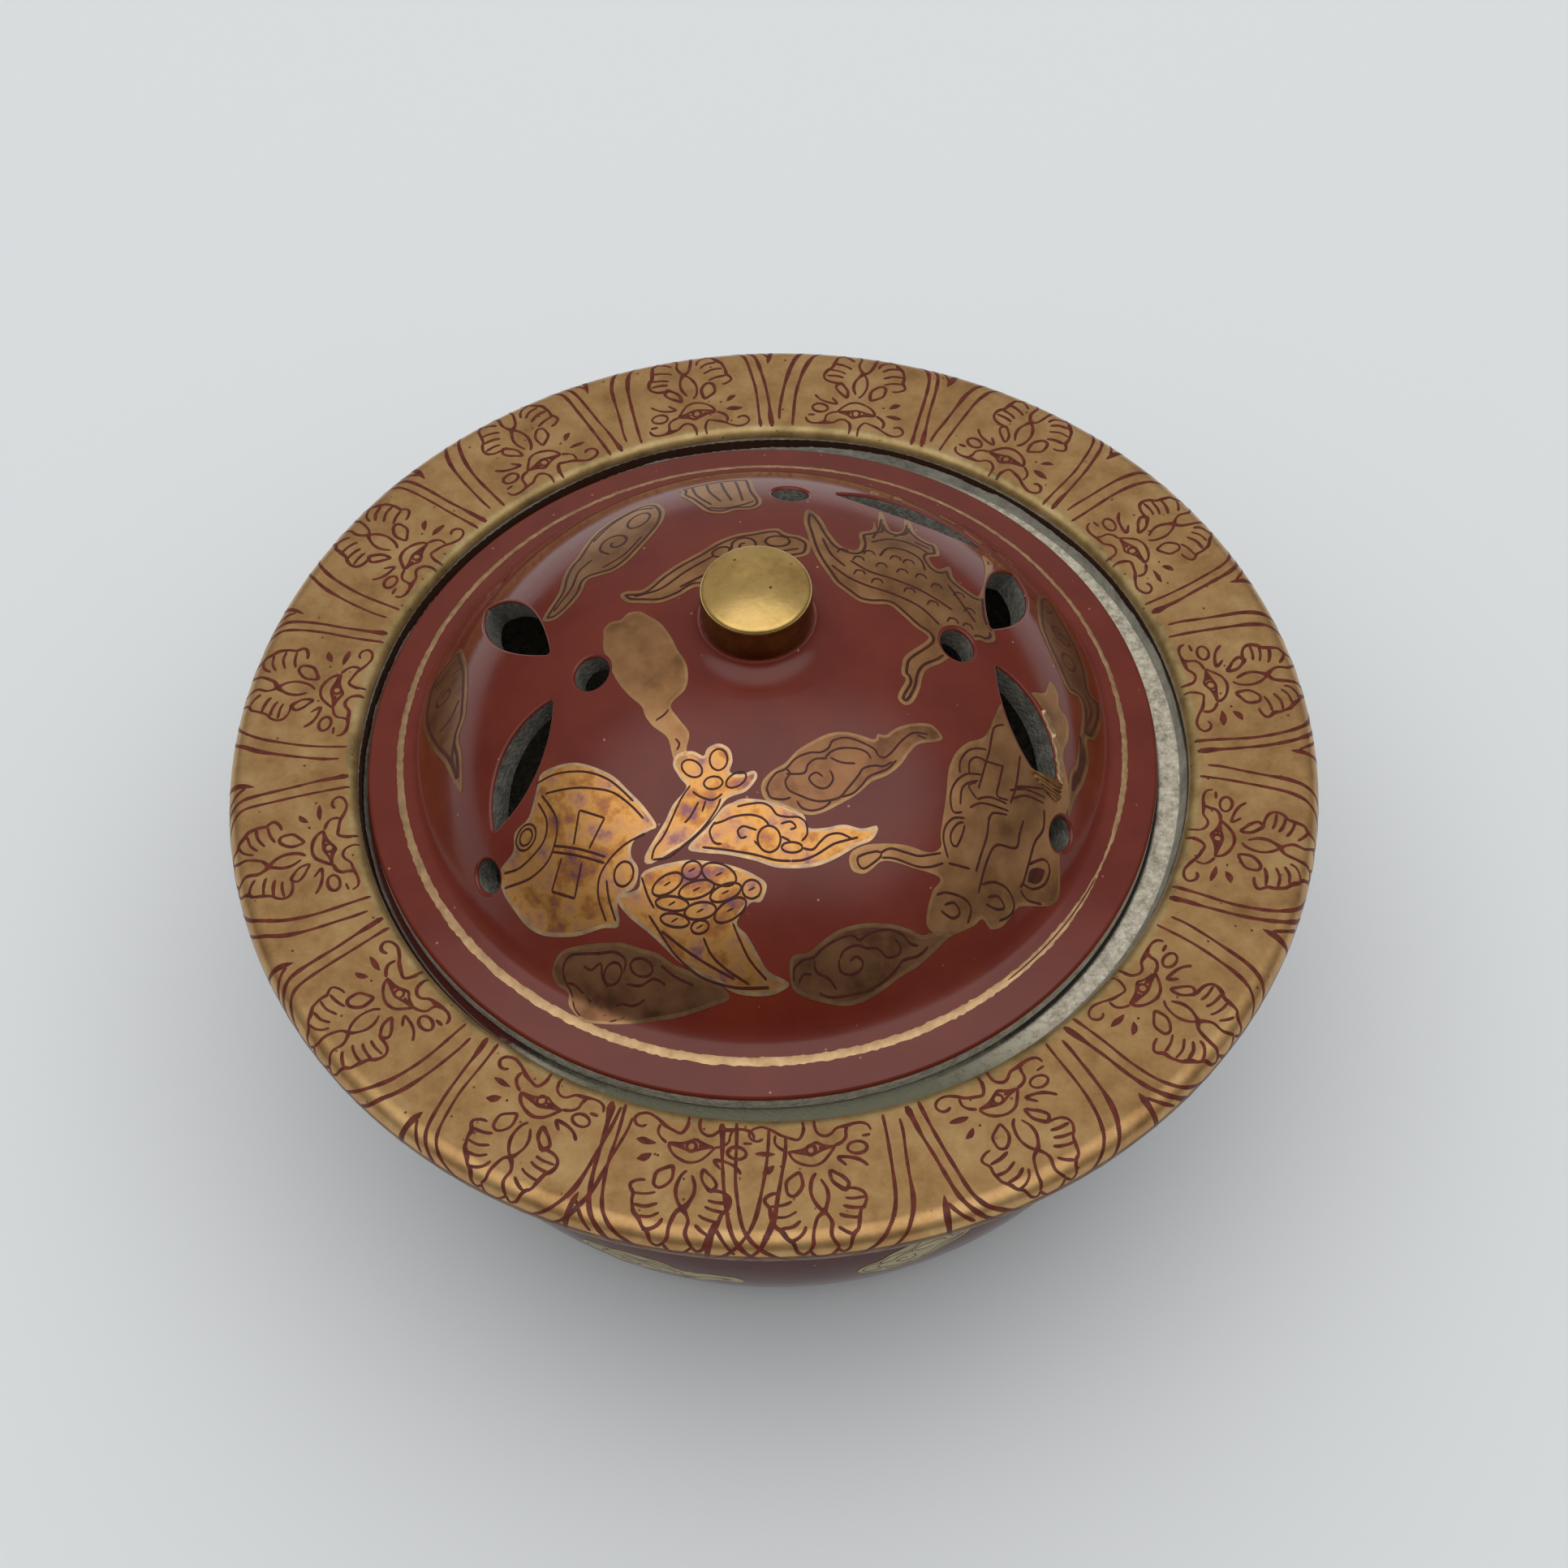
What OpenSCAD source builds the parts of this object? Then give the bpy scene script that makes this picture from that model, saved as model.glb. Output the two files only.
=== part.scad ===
// Lidded ceramic incense burner: a round bowl on a foot ring, a broad flat rim with a
// sunk gallery, and a loose pierced dome lid with a round knob.
// Millimetres, +Z up. The origin is on the table, on the bowl's axis.

/* [Bowl] */
// Radius of the belly at its widest
belly_r = 50; // [46:0.5:54]
// Height of the rim's flat top above the table
rim_z = 52; // [46:0.5:66]
// Thickness of the bowl's wall and floor
wall = 3.2; // [2.4:0.1:4.2]
// Radius of the belly's gentle turn inwards
turn_r = 32; // [24:1:40]
// Angle that the gentle turn covers
turn_a = 25; // [12:1:34]
// Radius of the tighter turn into the flat base
corner_r = 15; // [11:0.5:18]

/* [Foot ring] */
// Height of the foot ring
foot_h = 2.8; // [1.6:0.1:5]
// Width of the foot ring
foot_w = 3.8; // [2.6:0.1:6]
// How far the foot ring stands in from the edge of the flat base
foot_inset = 1; // [0.4:0.1:4]
// Rounding of the foot ring's tread
foot_round = 0.7; // [0.3:0.1:1.2]

/* [Rim] */
// Outer radius of the rim
rim_r = 60; // [58:0.5:72]
// Radius of the rolled lip along the rim's outer edge
lip_r = 2.2; // [1.6:0.1:3]
// Height of the rim ring, from its flat top to its joint with the bowl's wall
rim_h = 8; // [7:0.1:11]
// Radius of the gallery, the sunk seat that the lid drops into
gallery_r = 45.8; // [43.5:0.1:47.5]
// Depth of the gallery below the rim's flat top
gallery_d = 3; // [2.2:0.1:4]
// How far the gallery's wall leans in on its way down
gallery_lean = 0.8; // [0.3:0.1:1.1]
// Rounding of the rim's inner edge
inner_round = 1.2; // [0.6:0.1:1.6]
// Width of the ledge, from the gallery's radius in to the mouth
ledge_w = 7.3; // [6:0.1:8.5]
// Thickness of the ledge at the mouth
ledge_t = 2.6; // [1.8:0.1:3.4]
// Rounding of the ledge's edges at the mouth
ledge_round = 0.7; // [0.3:0.1:0.9]

/* [Lid] */
// Gap all round between a centred lid and the top of the gallery's wall
lid_gap = 2.3; // [2.1:0.05:3]
// How far the loose lid lies off the bowl's axis, towards -X
lid_off = 1.15; // [0:0.05:1.2]
// Height of the dome's top above the ledge
dome_h = 24.8; // [22:0.2:27]
// Radius of the dome's crown
crown_r = 48; // [45:0.5:52]
// Angle from the axis at which the crown passes into the shoulder
crown_a = 25; // [20:0.5:30]
// Radius of the dome's shoulder
shoulder_r = 36.8; // [34:0.2:38]
// Slope of the dome's skirt
skirt_a = 54; // [50:0.5:58]
// Radius of the cove between the skirt and the flange
cove_r = 5; // [3:0.1:6]
// Slope of the flange's top
flange_a = 14; // [8:0.5:18]
// Thickness of the flange at its edge
flange_t = 2.55; // [2:0.05:3.2]
// Rounding of the flange's upper edge
flange_round = 0.6; // [0.3:0.05:0.9]
// Bevel of the flange's lower edge
flange_bevel = 0.5; // [0.2:0.05:0.7]
// Thickness of the dome's wall
lid_wall = 2.8; // [2.2:0.1:3.4]

/* [Smoke holes] */
// Diameter of the small round holes
round_d = 3.6; // [2.6:0.1:4.4]
// Diameter of the three larger round holes, one in each group
round_big_d = 4; // [3:0.1:4.8]
// Width of the leaf-shaped holes across their middle
leaf_w = 5.3; // [4:0.1:6.4]

/* [Knob] */
// Radius of the knob
knob_r = 5.75; // [4.5:0.05:7]
// Height of the knob
knob_h = 5.7; // [4:0.1:9]
// How far the knob's top is crowned
knob_crown = 0.45; // [0.2:0.05:0.9]
// Rounding of the knob's top edge
knob_round = 0.7; // [0.3:0.05:1.2]
// Height of the collar of slip under the knob, above the dome's top
collar_h = 0.8; // [0.5:0.05:1.4]
// How far the collar of slip spreads beyond the knob
collar_w = 3.2; // [1.5:0.1:4.5]

/* [Hidden] */
$fn = 96;

arc_step = 3;                              // degrees between the points of an arc

gold = [0.60, 0.47, 0.27];
red_glaze = [0.42, 0.16, 0.14];
bare_clay = [0.58, 0.57, 0.52];

// Points of an arc about c with radius r, from angle a to angle b, both ends included
function arc(c, r, a, b) =
    let (n = max(2, ceil(abs(b - a) / arc_step)))
    [for (i = [0:n]) let (t = a + (b - a) * i / n) c + r * [cos(t), sin(t)]];

// Bowl: the outline's arcs are tangent to each other and to the upright wall
base_r = belly_r - turn_r * (1 - cos(turn_a)) - corner_r * cos(turn_a);
corner_c = [base_r, foot_h + corner_r];
turn_c = [belly_r - turn_r, corner_c[1] + (turn_r - corner_r) * sin(turn_a)];
joint_z = rim_z - rim_h;                   // where the rim ring stands on the wall
foot_r = base_r - foot_inset;

// Rim
mouth_r = gallery_r - ledge_w;
seat_z = rim_z - gallery_d;                // the ledge's top, where the lid rests
neck_r = rim_h - 2 * lip_r;                // cove under the rim

// Lid: crown, shoulder, straight skirt, cove and flange follow one another
lid_r = gallery_r - lid_gap;
crown_c = [0, seat_z + dome_h - crown_r];
shoulder_c = crown_c + (crown_r - shoulder_r) * [sin(crown_a), cos(crown_a)];
skirt_top = shoulder_c + shoulder_r * [sin(skirt_a), cos(skirt_a)];
// Where the lines of the skirt and of the flange's top would meet
flange_r = (skirt_top[1] + tan(skirt_a) * skirt_top[0] - seat_z - flange_t
    - tan(flange_a) * lid_r) / (tan(skirt_a) - tan(flange_a));
flange_z = seat_z + flange_t + tan(flange_a) * (lid_r - flange_r);
cove_run = cove_r * tan((skirt_a - flange_a) / 2);
cove_end = [flange_r, flange_z] + cove_run * [cos(flange_a), -sin(flange_a)];
cove_c = cove_end + cove_r * [sin(flange_a), cos(flange_a)];
// Where the inside of the skirt meets the seat
skirt_in = skirt_top - lid_wall * [sin(skirt_a), cos(skirt_a)];
seat_in_r = skirt_in[0] + (skirt_in[1] - seat_z) / tan(skirt_a);

collar_z = seat_z + dome_h + collar_h;     // the flat that the knob is stuck to
collar_r = knob_r + collar_w;

// Round holes, each as its bearing and its radius on the lid
BIG_ROUNDS = [[191.5, 17.7], [-1, 20.9], [79.5, 22]];
SMALL_ROUNDS = [[214, 34.9], [146, 35.3], [38, 35.3], [-27.7, 35.2]];
// Leaf-shaped holes: bearing, radius, lean from the radial line, length
LEAVES = [[164, 27.8, -36, 18.5], [203.2, 27.5, 29, 15], [20.7, 29.2, 44, 15.8],
    [-14.8, 29.3, -40.5, 15.2], [49.5, 27.8, -55, 19]];

// Height and slope of the dome's outside at radius r, from its top to the end of its skirt
function dome_slope(r) =
    r < crown_r * sin(crown_a) ? asin(r / crown_r)
    : r < skirt_top[0] ? asin((r - shoulder_c[0]) / shoulder_r)
    : skirt_a;
function dome_z(r) =
    r < crown_r * sin(crown_a) ? crown_c[1] + crown_r * cos(dome_slope(r))
    : r < skirt_top[0] ? shoulder_c[1] + shoulder_r * cos(dome_slope(r))
    : skirt_top[1] - tan(skirt_a) * (r - skirt_top[0]);

// The belly's outline, set in by t, from the middle of the base up to the joint
function belly(t) = concat(
    [[0, foot_h + t]],
    arc(corner_c, corner_r - t, -90, -turn_a),
    arc(turn_c, turn_r - t, -turn_a, 0),
    [[belly_r - t, joint_z]]);

// The dome's outline, set in by t, from its top down to the end of its shoulder
function dome(t) = concat(
    arc(crown_c, crown_r - t, 90, 90 - crown_a),
    arc(shoulder_c, shoulder_r - t, 90 - crown_a, 90 - skirt_a));

module bowl() {
    color(red_glaze)
    rotate_extrude()
    difference() {
        polygon(concat(belly(0), [[0, joint_z]]));
        polygon(concat(belly(wall), [[belly_r - wall, joint_z + 1], [0, joint_z + 1]]));
    }
}

module foot_ring() {
    color(bare_clay)
    rotate_extrude()
    polygon(concat(
        [[foot_r - foot_w, foot_h]],
        arc([foot_r - foot_w + foot_round, foot_round], foot_round, 180, 270),
        arc([foot_r - foot_round, foot_round], foot_round, -90, 0),
        [[foot_r, foot_h]]));
}

module rim() {
    color(gold)
    translate([0, 0, rim_z])
    rotate_extrude()
    polygon(concat(
        [[belly_r - wall, -rim_h]],
        arc([belly_r + neck_r, -rim_h], neck_r, 180, 90),
        arc([rim_r - lip_r, -lip_r], lip_r, -90, 90),
        arc([gallery_r + inner_round, -inner_round], inner_round, 90, 180),
        [[gallery_r - gallery_lean, -gallery_d]],
        arc([mouth_r + ledge_round, -gallery_d - ledge_round], ledge_round, 90, 180),
        [[mouth_r, -gallery_d - ledge_t]]));
}

// Puts its children on the dome's outside, with their own Z square to its surface
module on_dome(bearing, r) {
    rotate([0, 0, bearing])
    translate([r, 0, dome_z(r)])
    rotate([0, dome_slope(r), 0])
    children();
}

module round_cutter(d) {
    translate([0, 0, -2 * lid_wall])
    cylinder(d = d, h = 4 * lid_wall);
}

// Two arcs that meet in a point at each end
module leaf_cutter(length) {
    side_r = (length * length + leaf_w * leaf_w) / (4 * leaf_w);
    intersection_for (side = [-1, 1])
    translate([0, side * (side_r - leaf_w / 2), -3 * lid_wall])
    cylinder(r = side_r, h = 5 * lid_wall);
}

module lid() {
    color(red_glaze)
    translate([-lid_off, 0, 0])
    difference() {
        rotate_extrude()
        polygon(concat(
            // outside, from the collar of slip out to the flange's edge
            [[0, collar_z]],
            [for (t = [0:15:90]) [collar_r - collar_w * cos(t),
                collar_z + (dome_z(collar_r) - collar_z) * sin(t)]],
            [for (p = dome(0)) if (p[0] > collar_r) p],
            arc(cove_c, cove_r, 270 - skirt_a, 270 - flange_a),
            arc([lid_r - flange_round, seat_z + flange_t
                + flange_round * (tan(flange_a) - 1 / cos(flange_a))], flange_round, 90 - flange_a, 0),
            [[lid_r, seat_z + flange_bevel], [lid_r - flange_bevel, seat_z]],
            // inside, from the seat back up to the dome's top
            [[seat_in_r, seat_z]],
            [for (i = [len(dome(lid_wall)) - 1:-1:0]) dome(lid_wall)[i]]));
        for (hole = BIG_ROUNDS) on_dome(hole[0], hole[1]) round_cutter(round_big_d);
        for (hole = SMALL_ROUNDS) on_dome(hole[0], hole[1]) round_cutter(round_d);
        for (leaf = LEAVES) on_dome(leaf[0], leaf[1]) rotate([0, 0, leaf[2]]) leaf_cutter(leaf[3]);
    }
}

module knob() {
    // radius of the crowned top, from how far it rises over the knob's width
    top_r = (knob_r * knob_r + knob_crown * knob_crown) / (2 * knob_crown);
    color(gold)
    translate([-lid_off, 0, collar_z])
    rotate_extrude()
    polygon(concat(
        [[0, 0], [knob_r, 0]],
        arc([knob_r - knob_round, knob_h - knob_crown - knob_round], knob_round, 0, 80),
        [for (i = [9:-1:0]) let (x = (knob_r - knob_round) * i / 10)
            [x, knob_h - top_r + sqrt(top_r * top_r - x * x)]]));
}

bowl();
foot_ring();
rim();
lid();
knob();
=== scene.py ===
"""Looks of a lidded incense burner: glazed bowl and pierced lid, gilded rim and knob, enamel painting."""
import random
from math import acos, asin, atan, ceil, cos, degrees, hypot, pi, radians, sin, sqrt, tan

import bpy
from mathutils import Matrix, Vector
from mathutils.geometry import delaunay_2d_cdt


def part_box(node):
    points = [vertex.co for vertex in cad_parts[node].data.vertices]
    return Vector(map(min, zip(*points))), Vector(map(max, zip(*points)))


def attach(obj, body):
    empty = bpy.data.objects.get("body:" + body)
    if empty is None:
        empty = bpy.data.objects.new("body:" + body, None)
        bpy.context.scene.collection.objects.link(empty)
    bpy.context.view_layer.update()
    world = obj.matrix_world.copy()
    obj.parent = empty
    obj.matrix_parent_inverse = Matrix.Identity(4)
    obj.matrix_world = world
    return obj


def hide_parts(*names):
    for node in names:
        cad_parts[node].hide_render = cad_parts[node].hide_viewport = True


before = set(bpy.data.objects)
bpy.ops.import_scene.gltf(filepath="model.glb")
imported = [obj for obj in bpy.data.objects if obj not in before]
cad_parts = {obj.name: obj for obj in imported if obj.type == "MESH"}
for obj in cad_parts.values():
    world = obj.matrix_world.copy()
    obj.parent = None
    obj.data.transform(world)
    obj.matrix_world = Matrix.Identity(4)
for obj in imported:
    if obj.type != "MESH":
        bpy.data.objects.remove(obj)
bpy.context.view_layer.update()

MM = 0.001                                  # all lengths below are in millimetres

# ---------------------------------------------------------------- sizes taken from the frame

def measure(node):
    """Lowest and highest corner of a node, in millimetres."""
    low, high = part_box(node)
    return low / MM, high / MM


RIM_LOW, RIM_HIGH = measure("rim")
LID_LOW, LID_HIGH = measure("lid")
KNOB_LOW, KNOB_HIGH = measure("knob")
FOOT_HIGH = measure("foot_ring")[1]
BOWL_HIGH = measure("bowl")[1]

RIM_Z = RIM_HIGH.z
LINE_ROOM = 0.04                            # keeps the raised lines on the lip inside the rim's size
RIM_R = RIM_HIGH.x - LINE_ROOM
LIP_R = 2.2                                 # roundness of the rim's outer lip
RIM_H = RIM_HIGH.z - RIM_LOW.z
GALLERY_R = 45.8                            # top of the gallery's wall
GALLERY_LEAN = 0.8                          # how much narrower the wall gets towards the ledge
INNER_ROUND = 1.2                           # rolled edge between the rim's top and the gallery
MOUTH_R = 38.5                              # the opening inside the ledge
LEDGE_T = 2.6
LEDGE_ROUND = 0.7
SEAT_Z = LID_LOW.z

BELLY_R = BOWL_HIGH.x
WALL = 3.2
TURN_R = 32                                 # the belly turns in with this radius and angle
TURN_A = radians(25)
CORNER_R = 15                               # and then rounds with this one into its base
FOOT_H = FOOT_HIGH.z
FOOT_R = FOOT_HIGH.x
FOOT_W = 3.8
FOOT_ROUND = 0.7
JOINT_Z = BOWL_HIGH.z

LID_X = (LID_LOW.x + LID_HIGH.x) / 2        # the loose lid lies a little off the bowl's axis
LID_R = (LID_HIGH.x - LID_LOW.x) / 2
LID_WALL = 2.8
CROWN_R = 48                                # the dome's flatter middle, up to the angle CROWN_A
CROWN_A = radians(25)
SHOULDER_R = 36.8                           # its rounder part, up to SKIRT_A, where it runs straight
SKIRT_A = radians(54)
COVE_R = 2.6                                # hollow round between the dome and the flange
FLANGE_A = radians(14)
FLANGE_T = 2.55
FLANGE_ROUND = 0.6
FLANGE_BEVEL = 0.5
DOME_H = 24.8                               # from the seat to the top of the dome's arc
COLLAR_Z = KNOB_LOW.z
COLLAR_W = 3.2                              # the slip under the knob, wiped out into a cove
KNOB_R = (KNOB_HIGH.x - KNOB_LOW.x) / 2
KNOB_H = KNOB_HIGH.z - KNOB_LOW.z
KNOB_ROUND = 0.7
KNOB_LEAN = radians(18)                     # how far the hand-smoothed crown slopes at its edge
KNOB_FLAT = 3.6                             # radius of its flatter middle
COLLAR_R = KNOB_R + COLLAR_W

# ---------------------------------------------------------------- outlines of the turned pieces

def arc(centre, radius, start, end, step=radians(3)):
    """Points of an arc, both ends included; angles in radians."""
    count = max(2, ceil(abs(end - start) / step))
    return [(centre[0] + radius * cos(start + (end - start) * i / count),
             centre[1] + radius * sin(start + (end - start) * i / count)) for i in range(count + 1)]


def circle(r, count):
    """Points of a full circle, the first of them not repeated."""
    return [(r * cos(2 * pi * i / count), r * sin(2 * pi * i / count)) for i in range(count)]


# The lid's outside: middles of its arcs, and the points where one part runs into the next
CROWN_C = (0, SEAT_Z + DOME_H - CROWN_R)
SHOULDER_C = (CROWN_C[0] + (CROWN_R - SHOULDER_R) * sin(CROWN_A),
              CROWN_C[1] + (CROWN_R - SHOULDER_R) * cos(CROWN_A))
SKIRT_TOP = (SHOULDER_C[0] + SHOULDER_R * sin(SKIRT_A), SHOULDER_C[1] + SHOULDER_R * cos(SKIRT_A))
FLANGE_X = ((SKIRT_TOP[1] + tan(SKIRT_A) * SKIRT_TOP[0] - SEAT_Z - FLANGE_T - tan(FLANGE_A) * LID_R)
            / (tan(SKIRT_A) - tan(FLANGE_A)))
FLANGE_Z = SEAT_Z + FLANGE_T + tan(FLANGE_A) * (LID_R - FLANGE_X)
COVE_RUN = COVE_R * tan((SKIRT_A - FLANGE_A) / 2)
COVE_END = (FLANGE_X + COVE_RUN * cos(FLANGE_A), FLANGE_Z - COVE_RUN * sin(FLANGE_A))
COVE_C = (COVE_END[0] + COVE_R * sin(FLANGE_A), COVE_END[1] + COVE_R * cos(FLANGE_A))
SEAT_IN_R = (SKIRT_TOP[0] - LID_WALL * sin(SKIRT_A)
             + (SKIRT_TOP[1] - LID_WALL * cos(SKIRT_A) - SEAT_Z) / tan(SKIRT_A))


def dome(r, inset=0):
    """Height and slope of the lid's outside at radius r, or of its inside with inset as the wall."""
    crown, shoulder = CROWN_R - inset, SHOULDER_R - inset
    if r < crown * sin(CROWN_A):
        slope = asin(r / crown)
        return CROWN_C[1] + crown * cos(slope), slope
    if r < SHOULDER_C[0] + shoulder * sin(SKIRT_A):
        slope = asin((r - SHOULDER_C[0]) / shoulder)
        return SHOULDER_C[1] + shoulder * cos(slope), slope
    if inset or r < COVE_C[0] - COVE_R * sin(SKIRT_A):
        start = (SHOULDER_C[0] + shoulder * sin(SKIRT_A), SHOULDER_C[1] + shoulder * cos(SKIRT_A))
        return start[1] - tan(SKIRT_A) * (r - start[0]), SKIRT_A
    if r < COVE_END[0]:
        slope = asin((COVE_C[0] - r) / COVE_R)
        return COVE_C[1] - COVE_R * cos(slope), slope
    return COVE_END[1] - tan(FLANGE_A) * (r - COVE_END[0]), FLANGE_A


def collar(run):
    """Height and slope of the cove round the knob: run is 0 where it meets the dome and 1 at the knob."""
    rise, run = COLLAR_Z - dome(COLLAR_R)[0], min(0.98, run)
    return COLLAR_Z - rise * sqrt(1 - run ** 2), atan(rise * run / COLLAR_W / sqrt(1 - run ** 2))


def on_lid(x, y, lift=0.0, inset=0):
    """The point on the lid's outside straight above (x, y) from the lid's axis, raised by lift."""
    r = hypot(x, y)
    z, slope = dome(r, inset)
    if not inset and r < COLLAR_R:
        z, slope = collar((COLLAR_R - r) / COLLAR_W)
    out = Vector((x / r, y / r)) if r > 1e-9 else Vector((1, 0))
    return Vector((x + LID_X + out.x * sin(slope) * lift, y + out.y * sin(slope) * lift,
                   z + cos(slope) * lift))


TOP_IN_R = GALLERY_R + INNER_ROUND          # where the rim's flat top begins
TOP_WIDTH = RIM_R - LIP_R - TOP_IN_R        # width of the flat top, up to the rolled lip


def on_rim(turn, v, lift=0.0):
    """A point on the rim: turn is its bearing in radians, v runs outwards over the top and the lip."""
    if v < 0:
        bend = v / INNER_ROUND
        r, z = TOP_IN_R + INNER_ROUND * sin(bend), RIM_Z - INNER_ROUND + INNER_ROUND * cos(bend)
    elif v < TOP_WIDTH:
        bend, r, z = 0, TOP_IN_R + v, RIM_Z
    else:
        bend = (v - TOP_WIDTH) / LIP_R
        r, z = RIM_R - LIP_R + LIP_R * sin(bend), RIM_Z - LIP_R + LIP_R * cos(bend)
    r, z = r + sin(bend) * lift, z + cos(bend) * lift
    return Vector((r * cos(turn), r * sin(turn), z))


BASE_R = BELLY_R - TURN_R * (1 - cos(TURN_A)) - CORNER_R * cos(TURN_A)
CORNER_C = (BASE_R, FOOT_H + CORNER_R)
TURN_C = (BELLY_R - TURN_R, CORNER_C[1] + (TURN_R - CORNER_R) * sin(TURN_A))


def on_belly(u, v, lift=0.0):
    """A point on the bowl's outside, u round its girth from the front and v above the table."""
    centre, radius = (TURN_C, TURN_R) if v > TURN_C[1] - TURN_R * sin(TURN_A) else (CORNER_C, CORNER_R)
    bend, turn = asin(min(0, (v - centre[1]) / radius)), u / BELLY_R - pi / 2
    r = centre[0] + (radius + lift) * cos(bend)
    return Vector((r * cos(turn), r * sin(turn), v + sin(bend) * lift))


def on_gallery(turn, v, lift=0.0):
    """A point on the gallery's wall, v below the rolled edge."""
    fall = RIM_Z - INNER_ROUND - SEAT_Z
    r = GALLERY_R - GALLERY_LEAN * v / fall - lift
    return Vector((r * cos(turn), r * sin(turn), RIM_Z - INNER_ROUND - v))


LINE_RISE = 0.03                            # how far fired enamel stands proud
GILT_RISE = 0.05                            # and how far gold does
SUNK = 0.04                                 # how far a painted piece reaches into the glaze
TUCK = 0.005                                # how far its thin edges do

# ---------------------------------------------------------------- meshes

class Shell:
    """Collects points and faces, each face with the number of its finish."""

    def __init__(self, name):
        self.name, self.points, self.faces, self.finishes = name, [], [], []

    def add(self, points):
        """Adds points in millimetres and returns their numbers."""
        first = len(self.points)
        self.points += [Vector(p) for p in points]
        return list(range(first, len(self.points)))

    def ring(self, r, z, centre_x, count):
        """Adds a level ring of points and returns their numbers."""
        return self.add([(centre_x + x, y, z) for x, y in circle(r, count)])

    def face(self, corners, finish=0):
        """Adds one face, its corners given by their numbers."""
        self.faces.append(corners)
        self.finishes.append(finish)

    def bridge(self, ring, other, finish=0):
        """Four-cornered faces between two closed rings of as many points."""
        for i in range(len(ring)):
            j = (i + 1) % len(ring)
            self.face((ring[i], ring[j], other[j], other[i]), finish)

    def fan(self, ring, tip, finish=0):
        """Triangles between a closed ring and one point."""
        for i in range(len(ring)):
            self.face((ring[i], ring[(i + 1) % len(ring)], tip), finish)

    def build(self, materials, body, slot, crease=35):
        """Makes the mesh object, smooth apart from edges sharper than crease degrees."""
        mesh = bpy.data.meshes.new(self.name)
        mesh.from_pydata([p * MM for p in self.points], [], self.faces)
        for material in materials:
            mesh.materials.append(material)
        mesh.polygons.foreach_set("material_index", self.finishes)
        mesh.shade_smooth()
        mesh.set_sharp_from_angle(angle=radians(crease))
        mesh.update()
        piece = bpy.data.objects.new(self.name, mesh)
        bpy.context.scene.collection.objects.link(piece)
        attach(piece, body)
        return piece


def turned(shell, spans, centre_x=0.0, count=300):
    """Turns a closed outline: spans are (finish, points), each ending where the next one starts."""
    rings = []
    for finish, points in spans:
        for r, z in points[:-1]:
            if r < 1e-6:
                rings.append((shell.add([(centre_x, 0, z)]), finish))
            else:
                rings.append((shell.ring(r, z, centre_x, count), finish))
    for (ring, finish), (other, _) in zip(rings, rings[1:] + rings[:1]):
        if len(ring) > 1 and len(other) > 1:
            shell.bridge(other, ring, finish)
        elif len(ring) > 1:
            shell.fan(ring[::-1], other[0], finish)
        elif len(other) > 1:
            shell.fan(other, ring[0], finish)


def closed(outline):
    """An outline as spans of one finish."""
    return [(0, outline + outline[:1])]


# ---------------------------------------------------------------- finishes

def srgb(code):
    """A colour written as sRGB hex, turned to linear."""
    parts = [int(code[i:i + 2], 16) / 255 for i in (1, 3, 5)]
    return [p / 12.92 if p <= 0.04045 else ((p + 0.055) / 1.055) ** 2.4 for p in parts] + [1]


def every(size):
    """Noise scale at which a pattern's grains are size millimetres apart."""
    return 1 / (size * MM)


def add(tree, kind, inputs=(), **settings):
    """Adds one shader node. A socket among its inputs is linked, any other value is set."""
    made = tree.nodes.new("ShaderNode" + kind)
    for name, value in settings.items():
        setattr(made, name, value)
    for name, value in dict(inputs).items():
        if isinstance(value, bpy.types.NodeSocket):
            tree.links.new(value, made.inputs[name])
        else:
            made.inputs[name].default_value = value
    return made


def noise(tree, place, size, detail, roughness=0.5):
    """A cloudy pattern with grains about size millimetres apart."""
    made = add(tree, "TexNoise", {"Vector": place, "Scale": every(size), "Detail": detail,
                                  "Roughness": roughness})
    return made.outputs["Fac"]


def ramp(tree, level, low, high, shades):
    """Colours spread evenly over a pattern's levels from low to high."""
    made = add(tree, "ValToRGB", {"Fac": level})
    for i, shade in enumerate(shades):
        position = low + (high - low) * i / (len(shades) - 1)
        element = made.color_ramp.elements[i] if i < 2 else made.color_ramp.elements.new(position)
        element.position = position
        element.color = srgb(shade)
    return made.outputs["Color"]


def over(tree, cover, under, code):
    """Lays a colour over another one where cover is 1."""
    return add(tree, "MixRGB", {"Fac": cover, "Color1": under, "Color2": srgb(code)}).outputs["Color"]


def between(tree, value, start, full):
    """Level that rises from 0 to 1 while value goes from start to full."""
    made = add(tree, "MapRange", {"Value": value, "From Min": start, "From Max": full})
    return made.outputs["Result"]


def set_gloss(tree, shader, level, smooth_to, rough_to):
    """Lets the roughness follow a pattern's level between two values."""
    made = add(tree, "MapRange", {"Value": level, "To Min": smooth_to, "To Max": rough_to})
    tree.links.new(made.outputs["Result"], shader.inputs["Roughness"])


def set_bumps(tree, shader, place, size, detail, strength, depth):
    """Fine unevenness with grains size millimetres apart and depth millimetres high."""
    height = noise(tree, place, size, detail)
    made = add(tree, "Bump", {"Height": height, "Strength": strength, "Distance": depth * MM})
    tree.links.new(made.outputs["Normal"], shader.inputs["Normal"])


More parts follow.
